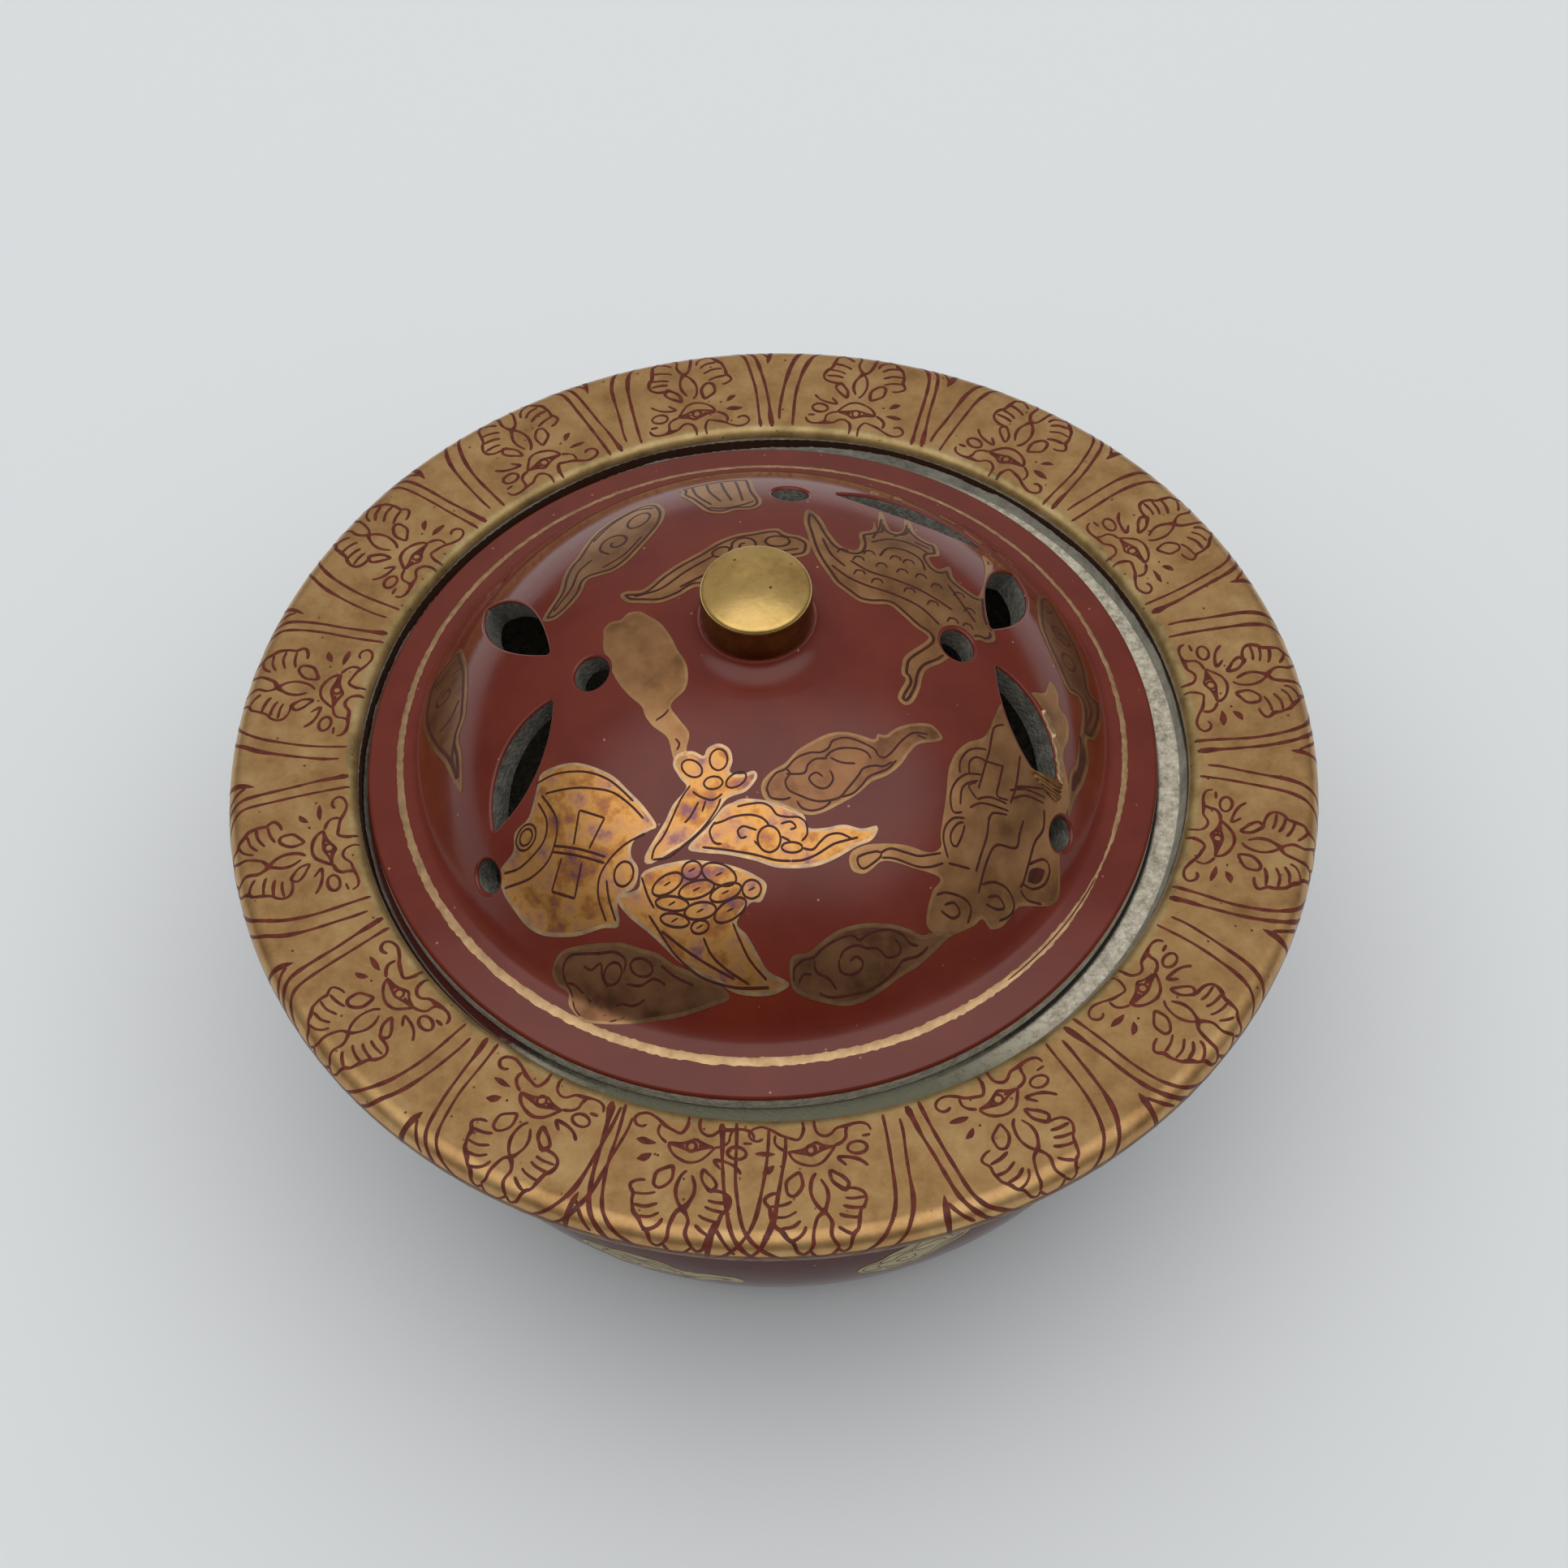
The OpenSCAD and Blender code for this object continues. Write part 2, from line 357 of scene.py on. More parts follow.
def finish(name, **values):
    """A material of that name, with its Principled shader's plain values set on the sockets."""
    material = bpy.data.materials.new(name)
    material.use_nodes = True
    tree = material.node_tree
    shader = tree.nodes["Principled BSDF"]
    for key, value in values.items():
        shader.inputs[key.replace("_", " ")].default_value = value
    place = add(tree, "TexCoord").outputs["Object"]
    return material, tree, shader, place


def specks(tree, place, spacing, size, under, code):
    """Lays small round specks of one colour over the colour under them."""
    dots = add(tree, "TexVoronoi", {"Vector": place, "Scale": every(spacing)}).outputs["Distance"]
    return over(tree, between(tree, dots, size / spacing, size / spacing / 2), under, code)


def iron_red_enamel(name, shades, ior):
    """Iron red enamel brushed over a fired glaze: a deep even glassy red with tiny pale pinholes."""
    material, tree, shader, place = finish(name, IOR=ior)
    streaks = noise(tree, place, 7, 6, 0.6)
    colour = ramp(tree, streaks, 0.3, 0.7, shades)
    colour = specks(tree, place, 2.4, 0.16, colour, "#a97568")
    tree.links.new(colour, shader.inputs["Base Color"])
    set_gloss(tree, shader, streaks, 0.1, 0.2)
    set_bumps(tree, shader, place, 2.5, 3, 0.15, 0.1)
    return material


def worn_gilding(name, shades, metal, smooth_to, rough_to):
    """Gilding fired on over the glaze and rubbed by hands: dull mottled gold with small dark pits."""
    material, tree, shader, place = finish(name, Metallic=metal)
    mottle = noise(tree, place, 5, 9, 0.7)
    colour = ramp(tree, mottle, 0.3, 0.7, shades)
    colour = specks(tree, place, 2.1, 0.2, colour, "#6b4a2c")
    tree.links.new(colour, shader.inputs["Base Color"])
    set_gloss(tree, shader, mottle, smooth_to, rough_to)
    set_bumps(tree, shader, place, 0.8, 4, 0.3, 0.06)
    return material


def bare_clay(name, shades, grit_size, shaded_gallery=False):
    """Fired clay left without glaze, matt and gritty; on the gallery, painted shade and run red enamel
    darken it.
    """
    material, tree, shader, place = finish(name, Roughness=0.85)
    patches = noise(tree, place, grit_size, 8, 0.75)
    colour = ramp(tree, patches, 0.36, 0.62, shades)
    if shaded_gallery:
        colour = shade_gallery(tree, place, patches, colour)
    tree.links.new(colour, shader.inputs["Base Color"])
    set_bumps(tree, shader, place, grit_size / 3, 3, 0.8, 0.3)
    return material


GAP_SHADE_EDGE = 0.55                            # how far the dark line of painted shade in the gap reaches out from under the lid
GAP_SHADE_FULL = 0.25                            # and how far it is quite dark
RAG = 0.012                                 # in metres: how ragged the edges of the gallery's darker patches are
# Darker patches of the gallery: at the front painted shade, at the back a darker olive, on the left run red
# enamel darkened as painted shade; which way from the axis, how far out in metres they start and are full,
# colour
GALLERY_SHADE_AND_PATCHES = [((0, -1, 0), 0.041, 0.047, "#6d6b58"),
          ((0, 1, 0), 0.040, 0.047, "#7d7a68"),
          ((cos(radians(165)), sin(radians(165)), 0), 0.021, 0.025, "#4b140c")]


def shade_gallery(tree, place, patches, colour):
    """Painted shade: a dark line under the lid's edge and a darker front of the gallery; also a darker
    olive patch at the back, and run red enamel on the left, darkened as painted shade.
    """
    flat = add(tree, "VectorMath", {0: place, 1: (1, 1, 0)}, operation="MULTIPLY").outputs["Vector"]
    axis = (LID_X * MM, 0, 0)
    reach = add(tree, "VectorMath", {0: flat, 1: axis}, operation="DISTANCE").outputs["Value"]
    # a dark line of painted shade in the gap under the lid's edge
    gap_shade = between(tree, reach, (LID_R + GAP_SHADE_EDGE) * MM, (LID_R + GAP_SHADE_FULL) * MM)
    colour = over(tree, gap_shade, colour, "#1d1b17")
    ragged = add(tree, "Math", {0: patches, 1: RAG}, operation="MULTIPLY").outputs["Value"]
    for aim, start, full, code in GALLERY_SHADE_AND_PATCHES:
        side = add(tree, "VectorMath", {0: place, 1: aim}, operation="DOT_PRODUCT").outputs["Value"]
        side = add(tree, "Math", {0: side, 1: ragged}, operation="ADD").outputs["Value"]
        colour = over(tree, between(tree, side, start, full), colour, code)
    return colour


def painted_line(name, shades):
    """Enamel line, thinly brushed and fired: darker where it pooled, half glossy."""
    material, tree, shader, place = finish(name, Roughness=0.38, IOR=1.36)
    pooled = noise(tree, place, 0.9, 3)
    tree.links.new(ramp(tree, pooled, 0.35, 0.65, shades), shader.inputs["Base Color"])
    return material


def painted_gold(name, shades, patch, gloss=0.3):
    """Gold brushed on in a thin film: its colour drifts between shades where it is thick or thin."""
    material, tree, shader, place = finish(name, Metallic=0.88)
    drift = noise(tree, place, patch, 5, 0.6)
    tree.links.new(ramp(tree, drift, 0.32, 0.68, shades), shader.inputs["Base Color"])
    set_gloss(tree, shader, drift, gloss - 0.06, gloss + 0.1)
    return material


RED = iron_red_enamel("iron red enamel", ["#5f1f14", "#6b2818"], 1.44)
# the bowl's red, darker than the lid's: painted shade under the overhanging rim
SHADED_BOWL_RED = iron_red_enamel("iron red enamel dulled by handling", ["#4a1d17", "#552720"], 1.22)
GOLD = worn_gilding("worn gilding", ["#9a7245", "#b98f5c", "#cba671"], 0.78, 0.26, 0.4)
KNOB_GOLD = worn_gilding("gilding burnished by fingers", ["#b48d54", "#d4ae68", "#e0bc78"],
                         0.95, 0.14, 0.3)
# darker copy of the knob's gilding for its side: painted shade
SHADED_KNOB_SIDE = worn_gilding("gilding of the knob's side, darkened as painted shade", ["#4a2a12", "#6b441c", "#866030"], 0.9, 0.22, 0.4)
# darker gilding under the lip: painted shade
SHADED_LIP_GOLD = worn_gilding("gilding under the lip, darkened as painted shade", ["#4c3420", "#6d4f2e", "#86673e"], 0.8, 0.3, 0.45)
EDGE_GOLD = worn_gilding("gilding rubbed thin on the edge", ["#6f5c3c", "#a58a58", "#c0a676"],
                         0.6, 0.3, 0.45)
CLAY = bare_clay("bare clay", ["#8c8474", "#a69e8d", "#bcb3a1"], 1.2)
# the gallery's clay carries painted shade in the gap under the lid and at its front
GRITTY = bare_clay("gritty clay of the gallery", ["#8b8371", "#b8ae9b", "#d8cfbd"], 0.9, shaded_gallery=True)
# darker bare clay for the inside of the lid and the walls of its smoke holes
DARK_CLAY = bare_clay("darker clay of the lid's inside and its holes", ["#484640", "#5b584f", "#6f6b61"], 1.2)
SLIPPED = bare_clay("clay wiped smooth with slip", ["#77746a", "#89867b", "#98958a"], 3)
LINE_RED = painted_line("red-brown enamel line", ["#4c1a10", "#652817"])
LINE_BROWN = painted_line("dark brown enamel line", ["#35130a", "#4a1b0f"])
POOLED = finish("pooled dark glaze", Base_Color=srgb("#2b130b"), Roughness=0.2, IOR=1.5)[0]
GILT_EDGE = painted_gold("gilding, edge of a motif", ["#9c744c", "#bb9062"], 2)
GILT = painted_gold("gilding, inside of a motif", ["#8c6341", "#a97a50", "#b98a5f"], 4)
LUSTRE_EDGE = painted_gold("lustred gilding, edge", ["#a88a78", "#dcb680"], 1.6, 0.28)
LUSTRED = painted_gold("lustred gilding", ["#8a5a62", "#b8783f", "#d79c56", "#c98e62", "#94686a"],
                       3.4, 0.28)
# a darker gold for the clouds low on the dome and the front cloud: partly rubbed gilding, partly painted
# shade
RUBBED_SHADED_EDGE = painted_gold("edge of gilding rubbed and painted darker as shade", ["#8a6546", "#a5805a"], 2)
RUBBED_SHADED_GILT = painted_gold("gilding rubbed and painted darker as shade", ["#6a4630", "#8a6042", "#966c4a"], 4)
# pale gold of the bowl's clouds: a painted reflection of the white table
BOWL_GILT_WITH_TABLE_SHEEN = painted_gold("pale gilding of the bowl", ["#a89a74", "#c4b68c"], 2, 0.38)
BAND = painted_gold("gilding of the band", ["#a88660", "#d0aa7e"], 1.2, 0.3)


# ---------------------------------------------------------------- bowl, foot ring, rim, knob

def belly(inset):
    """The bowl's outline set in by inset, from the middle of its base up to its joint with the rim."""
    flat = [(BASE_R * i / 6, FOOT_H + inset) for i in range(6)]
    wall = [(BELLY_R - inset, TURN_C[1] + (JOINT_Z - TURN_C[1]) * i / 6) for i in range(1, 7)]
    return (flat + arc(CORNER_C, CORNER_R - inset, -pi / 2, -TURN_A)
            + arc(TURN_C, TURN_R - inset, -TURN_A, 0)[1:] + wall)


def make_bowl():
    """The bowl, glazed outside and over its edge, bare clay inside."""
    bowl = Shell("glazed_bowl")
    outside, inside = belly(0), belly(WALL)
    turned(bowl, [(0, outside + inside[-1:]), (1, inside[::-1]), (0, [inside[0], outside[0]])])
    piece = bowl.build([SHADED_BOWL_RED, CLAY], "burner", "red_glaze")
    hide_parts("bowl")


def make_foot_ring():
    """The foot ring, bare clay with rounded edges."""
    foot = Shell("turned_foot_ring")
    inner = FOOT_R - FOOT_W
    turned(foot, closed([(inner, FOOT_H)] + arc((inner + FOOT_ROUND, FOOT_ROUND), FOOT_ROUND, pi, 1.5 * pi)
                        + arc((FOOT_R - FOOT_ROUND, FOOT_ROUND), FOOT_ROUND, -pi / 2, 0)
                        + [(FOOT_R, FOOT_H)]))
    piece = foot.build([CLAY], "burner", "bare_clay")
    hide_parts("foot_ring")


SHADED_LIP_STEPS = 34                             # of the lip's 60 steps: how far up its gilding is painted darker as shade
POOL_NARROW = 0.35                          # widths of the dark line of pooled glaze
POOL_WIDE = 1.1


def make_rim():
    """The rim from its joint with the bowl over its lip and top into the gallery."""
    rim = Shell("gilded_rim")
    neck = RIM_H - 2 * LIP_R
    bottom = (BELLY_R - WALL, RIM_Z - RIM_H)
    under = arc((BELLY_R + neck, RIM_Z - RIM_H), neck, pi, pi / 2)
    lip = arc((RIM_R - LIP_R, RIM_Z - LIP_R), LIP_R, -pi / 2, pi / 2)
    roll = arc((TOP_IN_R, RIM_Z - INNER_ROUND), INNER_ROUND, pi / 2, pi)
    ledge_c = (MOUTH_R + LEDGE_ROUND, SEAT_Z - LEDGE_ROUND)
    ledge_in = arc(ledge_c, LEDGE_ROUND, pi / 2, pi)
    top = [(RIM_R - LIP_R + (TOP_IN_R - RIM_R + LIP_R) * i / 8, RIM_Z) for i in range(9)]
    foot_of_wall = (GALLERY_R - GALLERY_LEAN, SEAT_Z)
    mouth = (MOUTH_R, SEAT_Z - LEDGE_T)
    spans = [(1, [bottom] + under + lip[:1]),
             # the lower part of the lip takes the gilding darkened as painted shade
             (5, lip[:SHADED_LIP_STEPS + 1]),
             (0, lip[SHADED_LIP_STEPS:-1] + top + roll[:1]),
             (3, roll),
             (4, [roll[-1], foot_of_wall]),
             (2, [foot_of_wall] + ledge_in + [mouth, bottom])]
    turned(rim, spans, count=360)
    piece = rim.build([GOLD, SHADED_BOWL_RED, GRITTY, EDGE_GOLD, SLIPPED, SHADED_LIP_GOLD], "burner", "gilding")
    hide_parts("rim")

    # where the glaze stops on the gallery's wall, it pools into a dark uneven line
    pool, hand = Shell("gallery_glaze_line"), random.Random(11)
    count, wide = 240, 0.6
    sections = []
    for i in range(count):
        turn = 2 * pi * i / count
        wide = min(POOL_WIDE, max(POOL_NARROW, wide + hand.gauss(0, 0.07)))
        v = 0.1 + wide / 2 + 0.08 * sin(9 * turn)
        sections.append(pool.add([on_gallery(turn, v - wide / 2, -TUCK),
                                  on_gallery(turn, v, LINE_RISE),
                                  on_gallery(turn, v + wide / 2, -TUCK),
                                  on_gallery(turn, v, -SUNK)]))
    for one, other in zip(sections, sections[1:] + sections[:1]):
        pool.bridge(other, one)
    pool.build([POOLED], "burner", "red_glaze", crease=60)


def make_knob():
    """The knob: a straight side, a small round at its edge and a softly rising crown."""
    knob = Shell("gilded_knob")
    edge, top_z = KNOB_R - KNOB_ROUND * (1 - sin(KNOB_LEAN)), COLLAR_Z + KNOB_H
    steep = tan(KNOB_LEAN) * hypot(edge, KNOB_FLAT) / edge
    crown = []
    for i in range(24, -1, -1):
        r = edge * i / 24
        crown.append((r, top_z - steep * (hypot(r, KNOB_FLAT) - KNOB_FLAT)))
    side = arc((KNOB_R - KNOB_ROUND, crown[0][1] - KNOB_ROUND * cos(KNOB_LEAN)), KNOB_ROUND,
               0, pi / 2 - KNOB_LEAN, radians(8))
    # the knob's side takes the gilding darkened as painted shade
    spans = [(1, [(0, COLLAR_Z), (KNOB_R, COLLAR_Z)] + side[:4]),
             (0, side[3:-1] + crown + [(0, COLLAR_Z)])]
    turned(knob, spans, LID_X, count=180)
    piece = knob.build([KNOB_GOLD, SHADED_KNOB_SIDE], "cover", "gilding")
    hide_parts("knob")


# ---------------------------------------------------------------- lid with its smoke holes

ROUND_D = 3.6
ROUND_BIG_D = 4
LEAF_W = 5.3
TIP_ROUND = 0.25                            # glaze rounds the points of the leaf-shaped holes
LIP = 0.35                                  # radius at which the glaze runs over a hole's edge
EDGE_STEPS = 40                             # faces round a round hole, or along one side of a leaf
# Bearing in degrees and distance from the lid's axis of each hole; a leaf also has its lean and length
BIG_ROUNDS = [(191.5, 17.7), (-1, 20.9), (79.5, 22)]
SMALL_ROUNDS = [(214, 34.9), (146, 35.3), (38, 35.3), (-27.7, 35.2)]
LEAVES = [(164, 27.8, -36, 18.5), (203.2, 27.5, 29, 15), (20.7, 29.2, 44, 15.8),
          (-14.8, 29.3, -40.5, 15.2), (49.5, 27.8, -55, 19)]


class SmokeHole:
    """A hole cut square to the dome: a round one, or a leaf of two arcs."""

    def __init__(self, bearing, r, lean=0, length=None, width=ROUND_D):
        turn, (z, slope) = radians(bearing), dome(r)
        self.middle = Vector((r * cos(turn), r * sin(turn), z))
        down = Vector((cos(turn) * cos(slope), sin(turn) * cos(slope), -sin(slope)))
        across = Vector((-sin(turn), cos(turn), 0))
        self.axis = down.cross(across)
        self.along = down * cos(radians(lean)) + across * sin(radians(lean))
        self.aside = self.axis.cross(self.along)
        self.length, self.width = length, width
        if length:
            self.side_r = (length ** 2 + width ** 2) / (4 * width)

    def ring(self, grow):
        """The hole's edge, moved out by grow, as points along and across the hole."""
        if not self.length:
            return circle(self.width / 2 + grow, EDGE_STEPS)
        offset, inner = self.side_r - self.width / 2, self.side_r - TIP_ROUND
        tip, half_turn = sqrt(inner ** 2 - offset ** 2), acos(offset / inner)
        points = []
        for side in (1, -1):
            flank = arc((0, -offset), inner + TIP_ROUND + grow, pi / 2 + half_turn, pi / 2 - half_turn,
                        2 * half_turn / EDGE_STEPS)
            cap = arc((tip, 0), TIP_ROUND + grow, pi / 2 - half_turn, half_turn - pi / 2, pi / 16)
            points += [(side * a, side * b) for a, b in flank + cap[1:-1]]
        return points[::-1]

    def outside(self, x, y):
        """About how far the point of the dome above (x, y) lies outside the hole's edge."""
        offset = Vector((x, y, dome(hypot(x, y))[0])) - self.middle
        a, b = offset.dot(self.along), offset.dot(self.aside)
        if not self.length:
            return hypot(a, b) - self.width / 2
        shift = self.side_r - self.width / 2
        return max(hypot(a, b + shift), hypot(a, b - shift)) - self.side_r

    def at(self, a, b, depth):
        """The point at (a, b) along and across the hole, and so deep along its axis."""
        return self.middle + self.along * a + self.aside * b + self.axis * depth

    def drop(self, a, b, inset=0):
        """How far along the hole's axis the dome lies under the point (a, b)."""
        depth = -inset
        for _ in range(8):
            p = self.at(a, b, depth)
            z, slope = dome(hypot(p.x, p.y), inset)
            depth += (z - p.z) * cos(slope)
        return depth


HOLES = ([SmokeHole(*hole, width=ROUND_BIG_D) for hole in BIG_ROUNDS]
         + [SmokeHole(*hole) for hole in SMALL_ROUNDS]
         + [SmokeHole(*leaf, width=LEAF_W) for leaf in LEAVES])


def fill(loops, loose):
    """Triangles of the plan between closed loops (lists of (x, y)) and loose points.

    Returns the points, the triangles and, for each loop, its points' numbers."""
    points, edges, owner = [], [], []
    for number, loop in enumerate(loops):
        first = len(points)
        edges += [(first + i, first + (i + 1) % len(loop)) for i in range(len(loop))]
        points += [Vector(p) for p in loop]
        owner += [number] * len(loop)
    points += [Vector(p) for p in loose]
    owner += [-1] * len(loose)
    flat, _, triangles, sources, _, _ = delaunay_2d_cdt(points, edges, [], 0, 1e-6)
    place = {source: i for i, group in enumerate(sources) for source in group}
    owners = [{owner[s] for s in group} for group in sources]
    kept = []
    for triangle in triangles:
        shared = owners[triangle[0]] & owners[triangle[1]] & owners[triangle[2]]
        if not any(number > 0 for number in shared):
            kept.append(triangle)
    rings, first = [], 0
    for loop in loops:
        rings.append([place[first + i] for i in range(len(loop))])
        first += len(loop)
    return flat, kept, rings


def polar_grid(low, high, pitch):
    """Points in rings about pitch apart, between two radii."""
    rings = max(1, round((high - low) / pitch))
    points = []
    for k in range(1, rings):
        r = low + (high - low) * k / rings
        count = max(6, round(2 * pi * r / pitch))
        points += [(r * cos(2 * pi * (i + k % 2 / 2) / count), r * sin(2 * pi * (i + k % 2 / 2) / count))
                   for i in range(count)]
    return points


def make_lid():
    """The lid with its smoke holes, the collar under the knob, and the flange that lies on the ledge."""
    lid = Shell("pierced_lid")
    count, outer_r, pitch = 360, 38.0, 0.75

    # outside of the dome, between the collar of slip and the cove
    lips = [[hole.at(a, b, hole.drop(a, b)) for a, b in hole.ring(LIP)] for hole in HOLES]
    loose = [p for p in polar_grid(COLLAR_R, outer_r, pitch)
             if all(hole.outside(*p) > LIP + 0.3 for hole in HOLES)]
    loops = [circle(outer_r, count), circle(COLLAR_R, 120)] + [[(p.x, p.y) for p in lip] for lip in lips]
    flat, triangles, rings = fill(loops, loose)
    numbers = lid.add([on_lid(p.x, p.y) for p in flat])
    for triangle in triangles:
        lid.face([numbers[i] for i in triangle])
    rings = [[numbers[i] for i in ring] for ring in rings]

    # inside of the dome
    inner_r = SEAT_IN_R - 0.4
    bores = [[hole.at(a, b, hole.drop(a, b, LID_WALL)) for a, b in hole.ring(0)] for hole in HOLES]
    loose = [(0, 0)] + [p for p in polar_grid(0, inner_r, 1.5)
                        if all(hypot(p[0] - q.x, p[1] - q.y) > 0.9 for bore in bores for q in bore)
                        and all(hole.outside(*shifted(p)) > 0.5 for hole in HOLES)]
    loops = [circle(inner_r, count)] + [[(p.x, p.y) for p in bore] for bore in bores]
    flat, triangles, under = fill(loops, loose)
    numbers = lid.add([on_lid(p.x, p.y, inset=LID_WALL) for p in flat])
    for triangle in triangles:
        lid.face([numbers[i] for i in triangle][::-1], 2)
    under = [[numbers[i] for i in ring] for ring in under]

    # each hole: the glaze runs over its edge, and the wall below is bare
    for hole, lip, bore in zip(HOLES, rings[2:], under[1:]):
        ring = lip
        for step in range(1, 7):
            bend = step * pi / 12
            low = [hole.at(a, b, hole.drop(a, b) - LIP * (1 - cos(bend)))
                   for a, b in hole.ring(LIP * (1 - sin(bend)))]
            following = lid.add([p + Vector((LID_X, 0, 0)) for p in low])
            lid.bridge(ring[::-1], following[::-1])
            ring = following
        lid.bridge(ring[::-1], bore[::-1], 2)

    # collar of slip under the knob
    ring = rings[1]
    for step in range(1, 11):
        run = sin(step * pi / 20)
        r = COLLAR_R - COLLAR_W * run
        z = COLLAR_Z + (dome(COLLAR_R)[0] - COLLAR_Z) * sqrt(max(0, 1 - run ** 2))
        following = lid.ring(r, z, LID_X, len(ring))
        lid.bridge(ring, following)
        ring = following
    lid.fan(ring, lid.add([(LID_X, 0, COLLAR_Z)])[0])

    # cove, flange, its bare edge, and the seat
    edge_c = (LID_R - FLANGE_ROUND,
              SEAT_Z + FLANGE_T + FLANGE_ROUND * (tan(FLANGE_A) - 1 / cos(FLANGE_A)))
    slopes = [SKIRT_A + (FLANGE_A - SKIRT_A) * i / 12 for i in range(13)]
    cove = [(COVE_C[0] - COVE_R * sin(s), COVE_C[1] - COVE_R * cos(s)) for s in slopes]
    spans = [(0, [p for p in cove if p[0] > outer_r + 0.1]
              + arc(edge_c, FLANGE_ROUND, pi / 2 - FLANGE_A, 0, radians(10))),
             (1, [(LID_R, SEAT_Z + FLANGE_BEVEL), (LID_R - FLANGE_BEVEL, SEAT_Z), (SEAT_IN_R, SEAT_Z)])]
    ring = rings[0]
    for finish_number, outline in spans:
        for r, z in outline:
            following = lid.ring(r, z, LID_X, count)
            lid.bridge(following, ring, finish_number)
            ring = following
    lid.bridge(under[0], ring, 1)
    piece = lid.build([RED, CLAY, DARK_CLAY], "cover", "red_glaze")
    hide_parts("lid")


def shifted(p):
    """The point of the outside that lies square above the point p of the inside."""
    r = hypot(*p)
    slope = dome(r, LID_WALL)[1]
    grown = (r + LID_WALL * sin(slope)) / max(r, 1e-9)
    return p[0] * grown, p[1] * grown


# ---------------------------------------------------------------- painting

LINE = 0.42                                 # width of the brush's plain line
FINE = 0.24                                 # width of the fine lines on the gold
BOLD = 0.34                                 # and of those on motifs with a line round them


def smooth(points, pitch=0.3):
    """A smooth curve through given points (x, y) or (x, y, width); a loop repeats its first."""
    points = [tuple(p) + (LINE,) * (3 - len(p)) for p in points]
    loop = points[0][:2] == points[-1][:2]
    if loop:
        points = points[-2:-1] + points + points[1:2]
    else:
        points = points[:1] + points + points[-1:]
    curve = []
    for a, b, c, d in zip(points, points[1:], points[2:], points[3:]):
        steps = max(2, ceil(hypot(c[0] - b[0], c[1] - b[1]) / pitch))
        for i in range(steps):
            t = i / steps
            curve.append(tuple(
                0.5 * (2 * q + (r - p) * t + (2 * p - 5 * q + 4 * r - s) * t * t
                       + (3 * q - p - 3 * r + s) * t ** 3) for p, q, r, s in zip(a, b, c, d)))
    return curve + [curve[0] if loop else points[-1]]


def oval(x, y, long_r, short_r=None, tilt=0):
    """A closed oval of eight points, its long axis tilted by so many degrees."""
    short_r, turn = short_r or long_r, radians(tilt)
    ring = [(long_r * cos(i * pi / 4), short_r * sin(i * pi / 4)) for i in range(8)]
    ring = [(x + a * cos(turn) - b * sin(turn), y + a * sin(turn) + b * cos(turn)) for a, b in ring]
    return ring + ring[:1]


def spiral(x, y, r, start, turns, end_r=0.4):
    """A scroll that winds in from radius r to end_r, starting at an angle in degrees."""
    count = max(4, round(abs(turns) * 8))
    return [(x + (r + (end_r - r) * i / count) * cos(radians(start) + 2 * pi * turns * i / count),
             y + (r + (end_r - r) * i / count) * sin(radians(start) + 2 * pi * turns * i / count))
            for i in range(count + 1)]


def brush(shell, path, place, rise=LINE_RISE, lift=0.0, finish_number=0):
    """Draws a line along a smooth path as a low closed ridge; place(x, y, lift) gives a point."""
    loop = path[0][:2] == path[-1][:2]
    spots = path[:-1] if loop else path
    sections = []
    for i, (x, y, width) in enumerate(spots):
        before = spots[i - 1] if i or loop else spots[i]
        after = spots[(i + 1) % len(spots)] if i + 1 < len(spots) or loop else spots[i]
        dx, dy = after[0] - before[0], after[1] - before[1]
        size = hypot(dx, dy) or 1
        from_end = min(hypot(x - e[0], y - e[1]) for e in (spots[0], spots[-1]))
        half = width / 2 * (1 if loop else min(1, 0.45 + from_end / width))
        nx, ny = -dy / size * half, dx / size * half
        sections.append(shell.add([place(x + nx, y + ny, lift - TUCK), place(x, y, lift + rise),
                                   place(x - nx, y - ny, lift - TUCK), place(x, y, lift - SUNK)]))
    for one, other in zip(sections, sections[1:] + (sections[:1] if loop else [])):
        shell.bridge(one, other, finish_number)
    if not loop:
        shell.face(sections[0], finish_number)
        shell.face(sections[-1][::-1], finish_number)


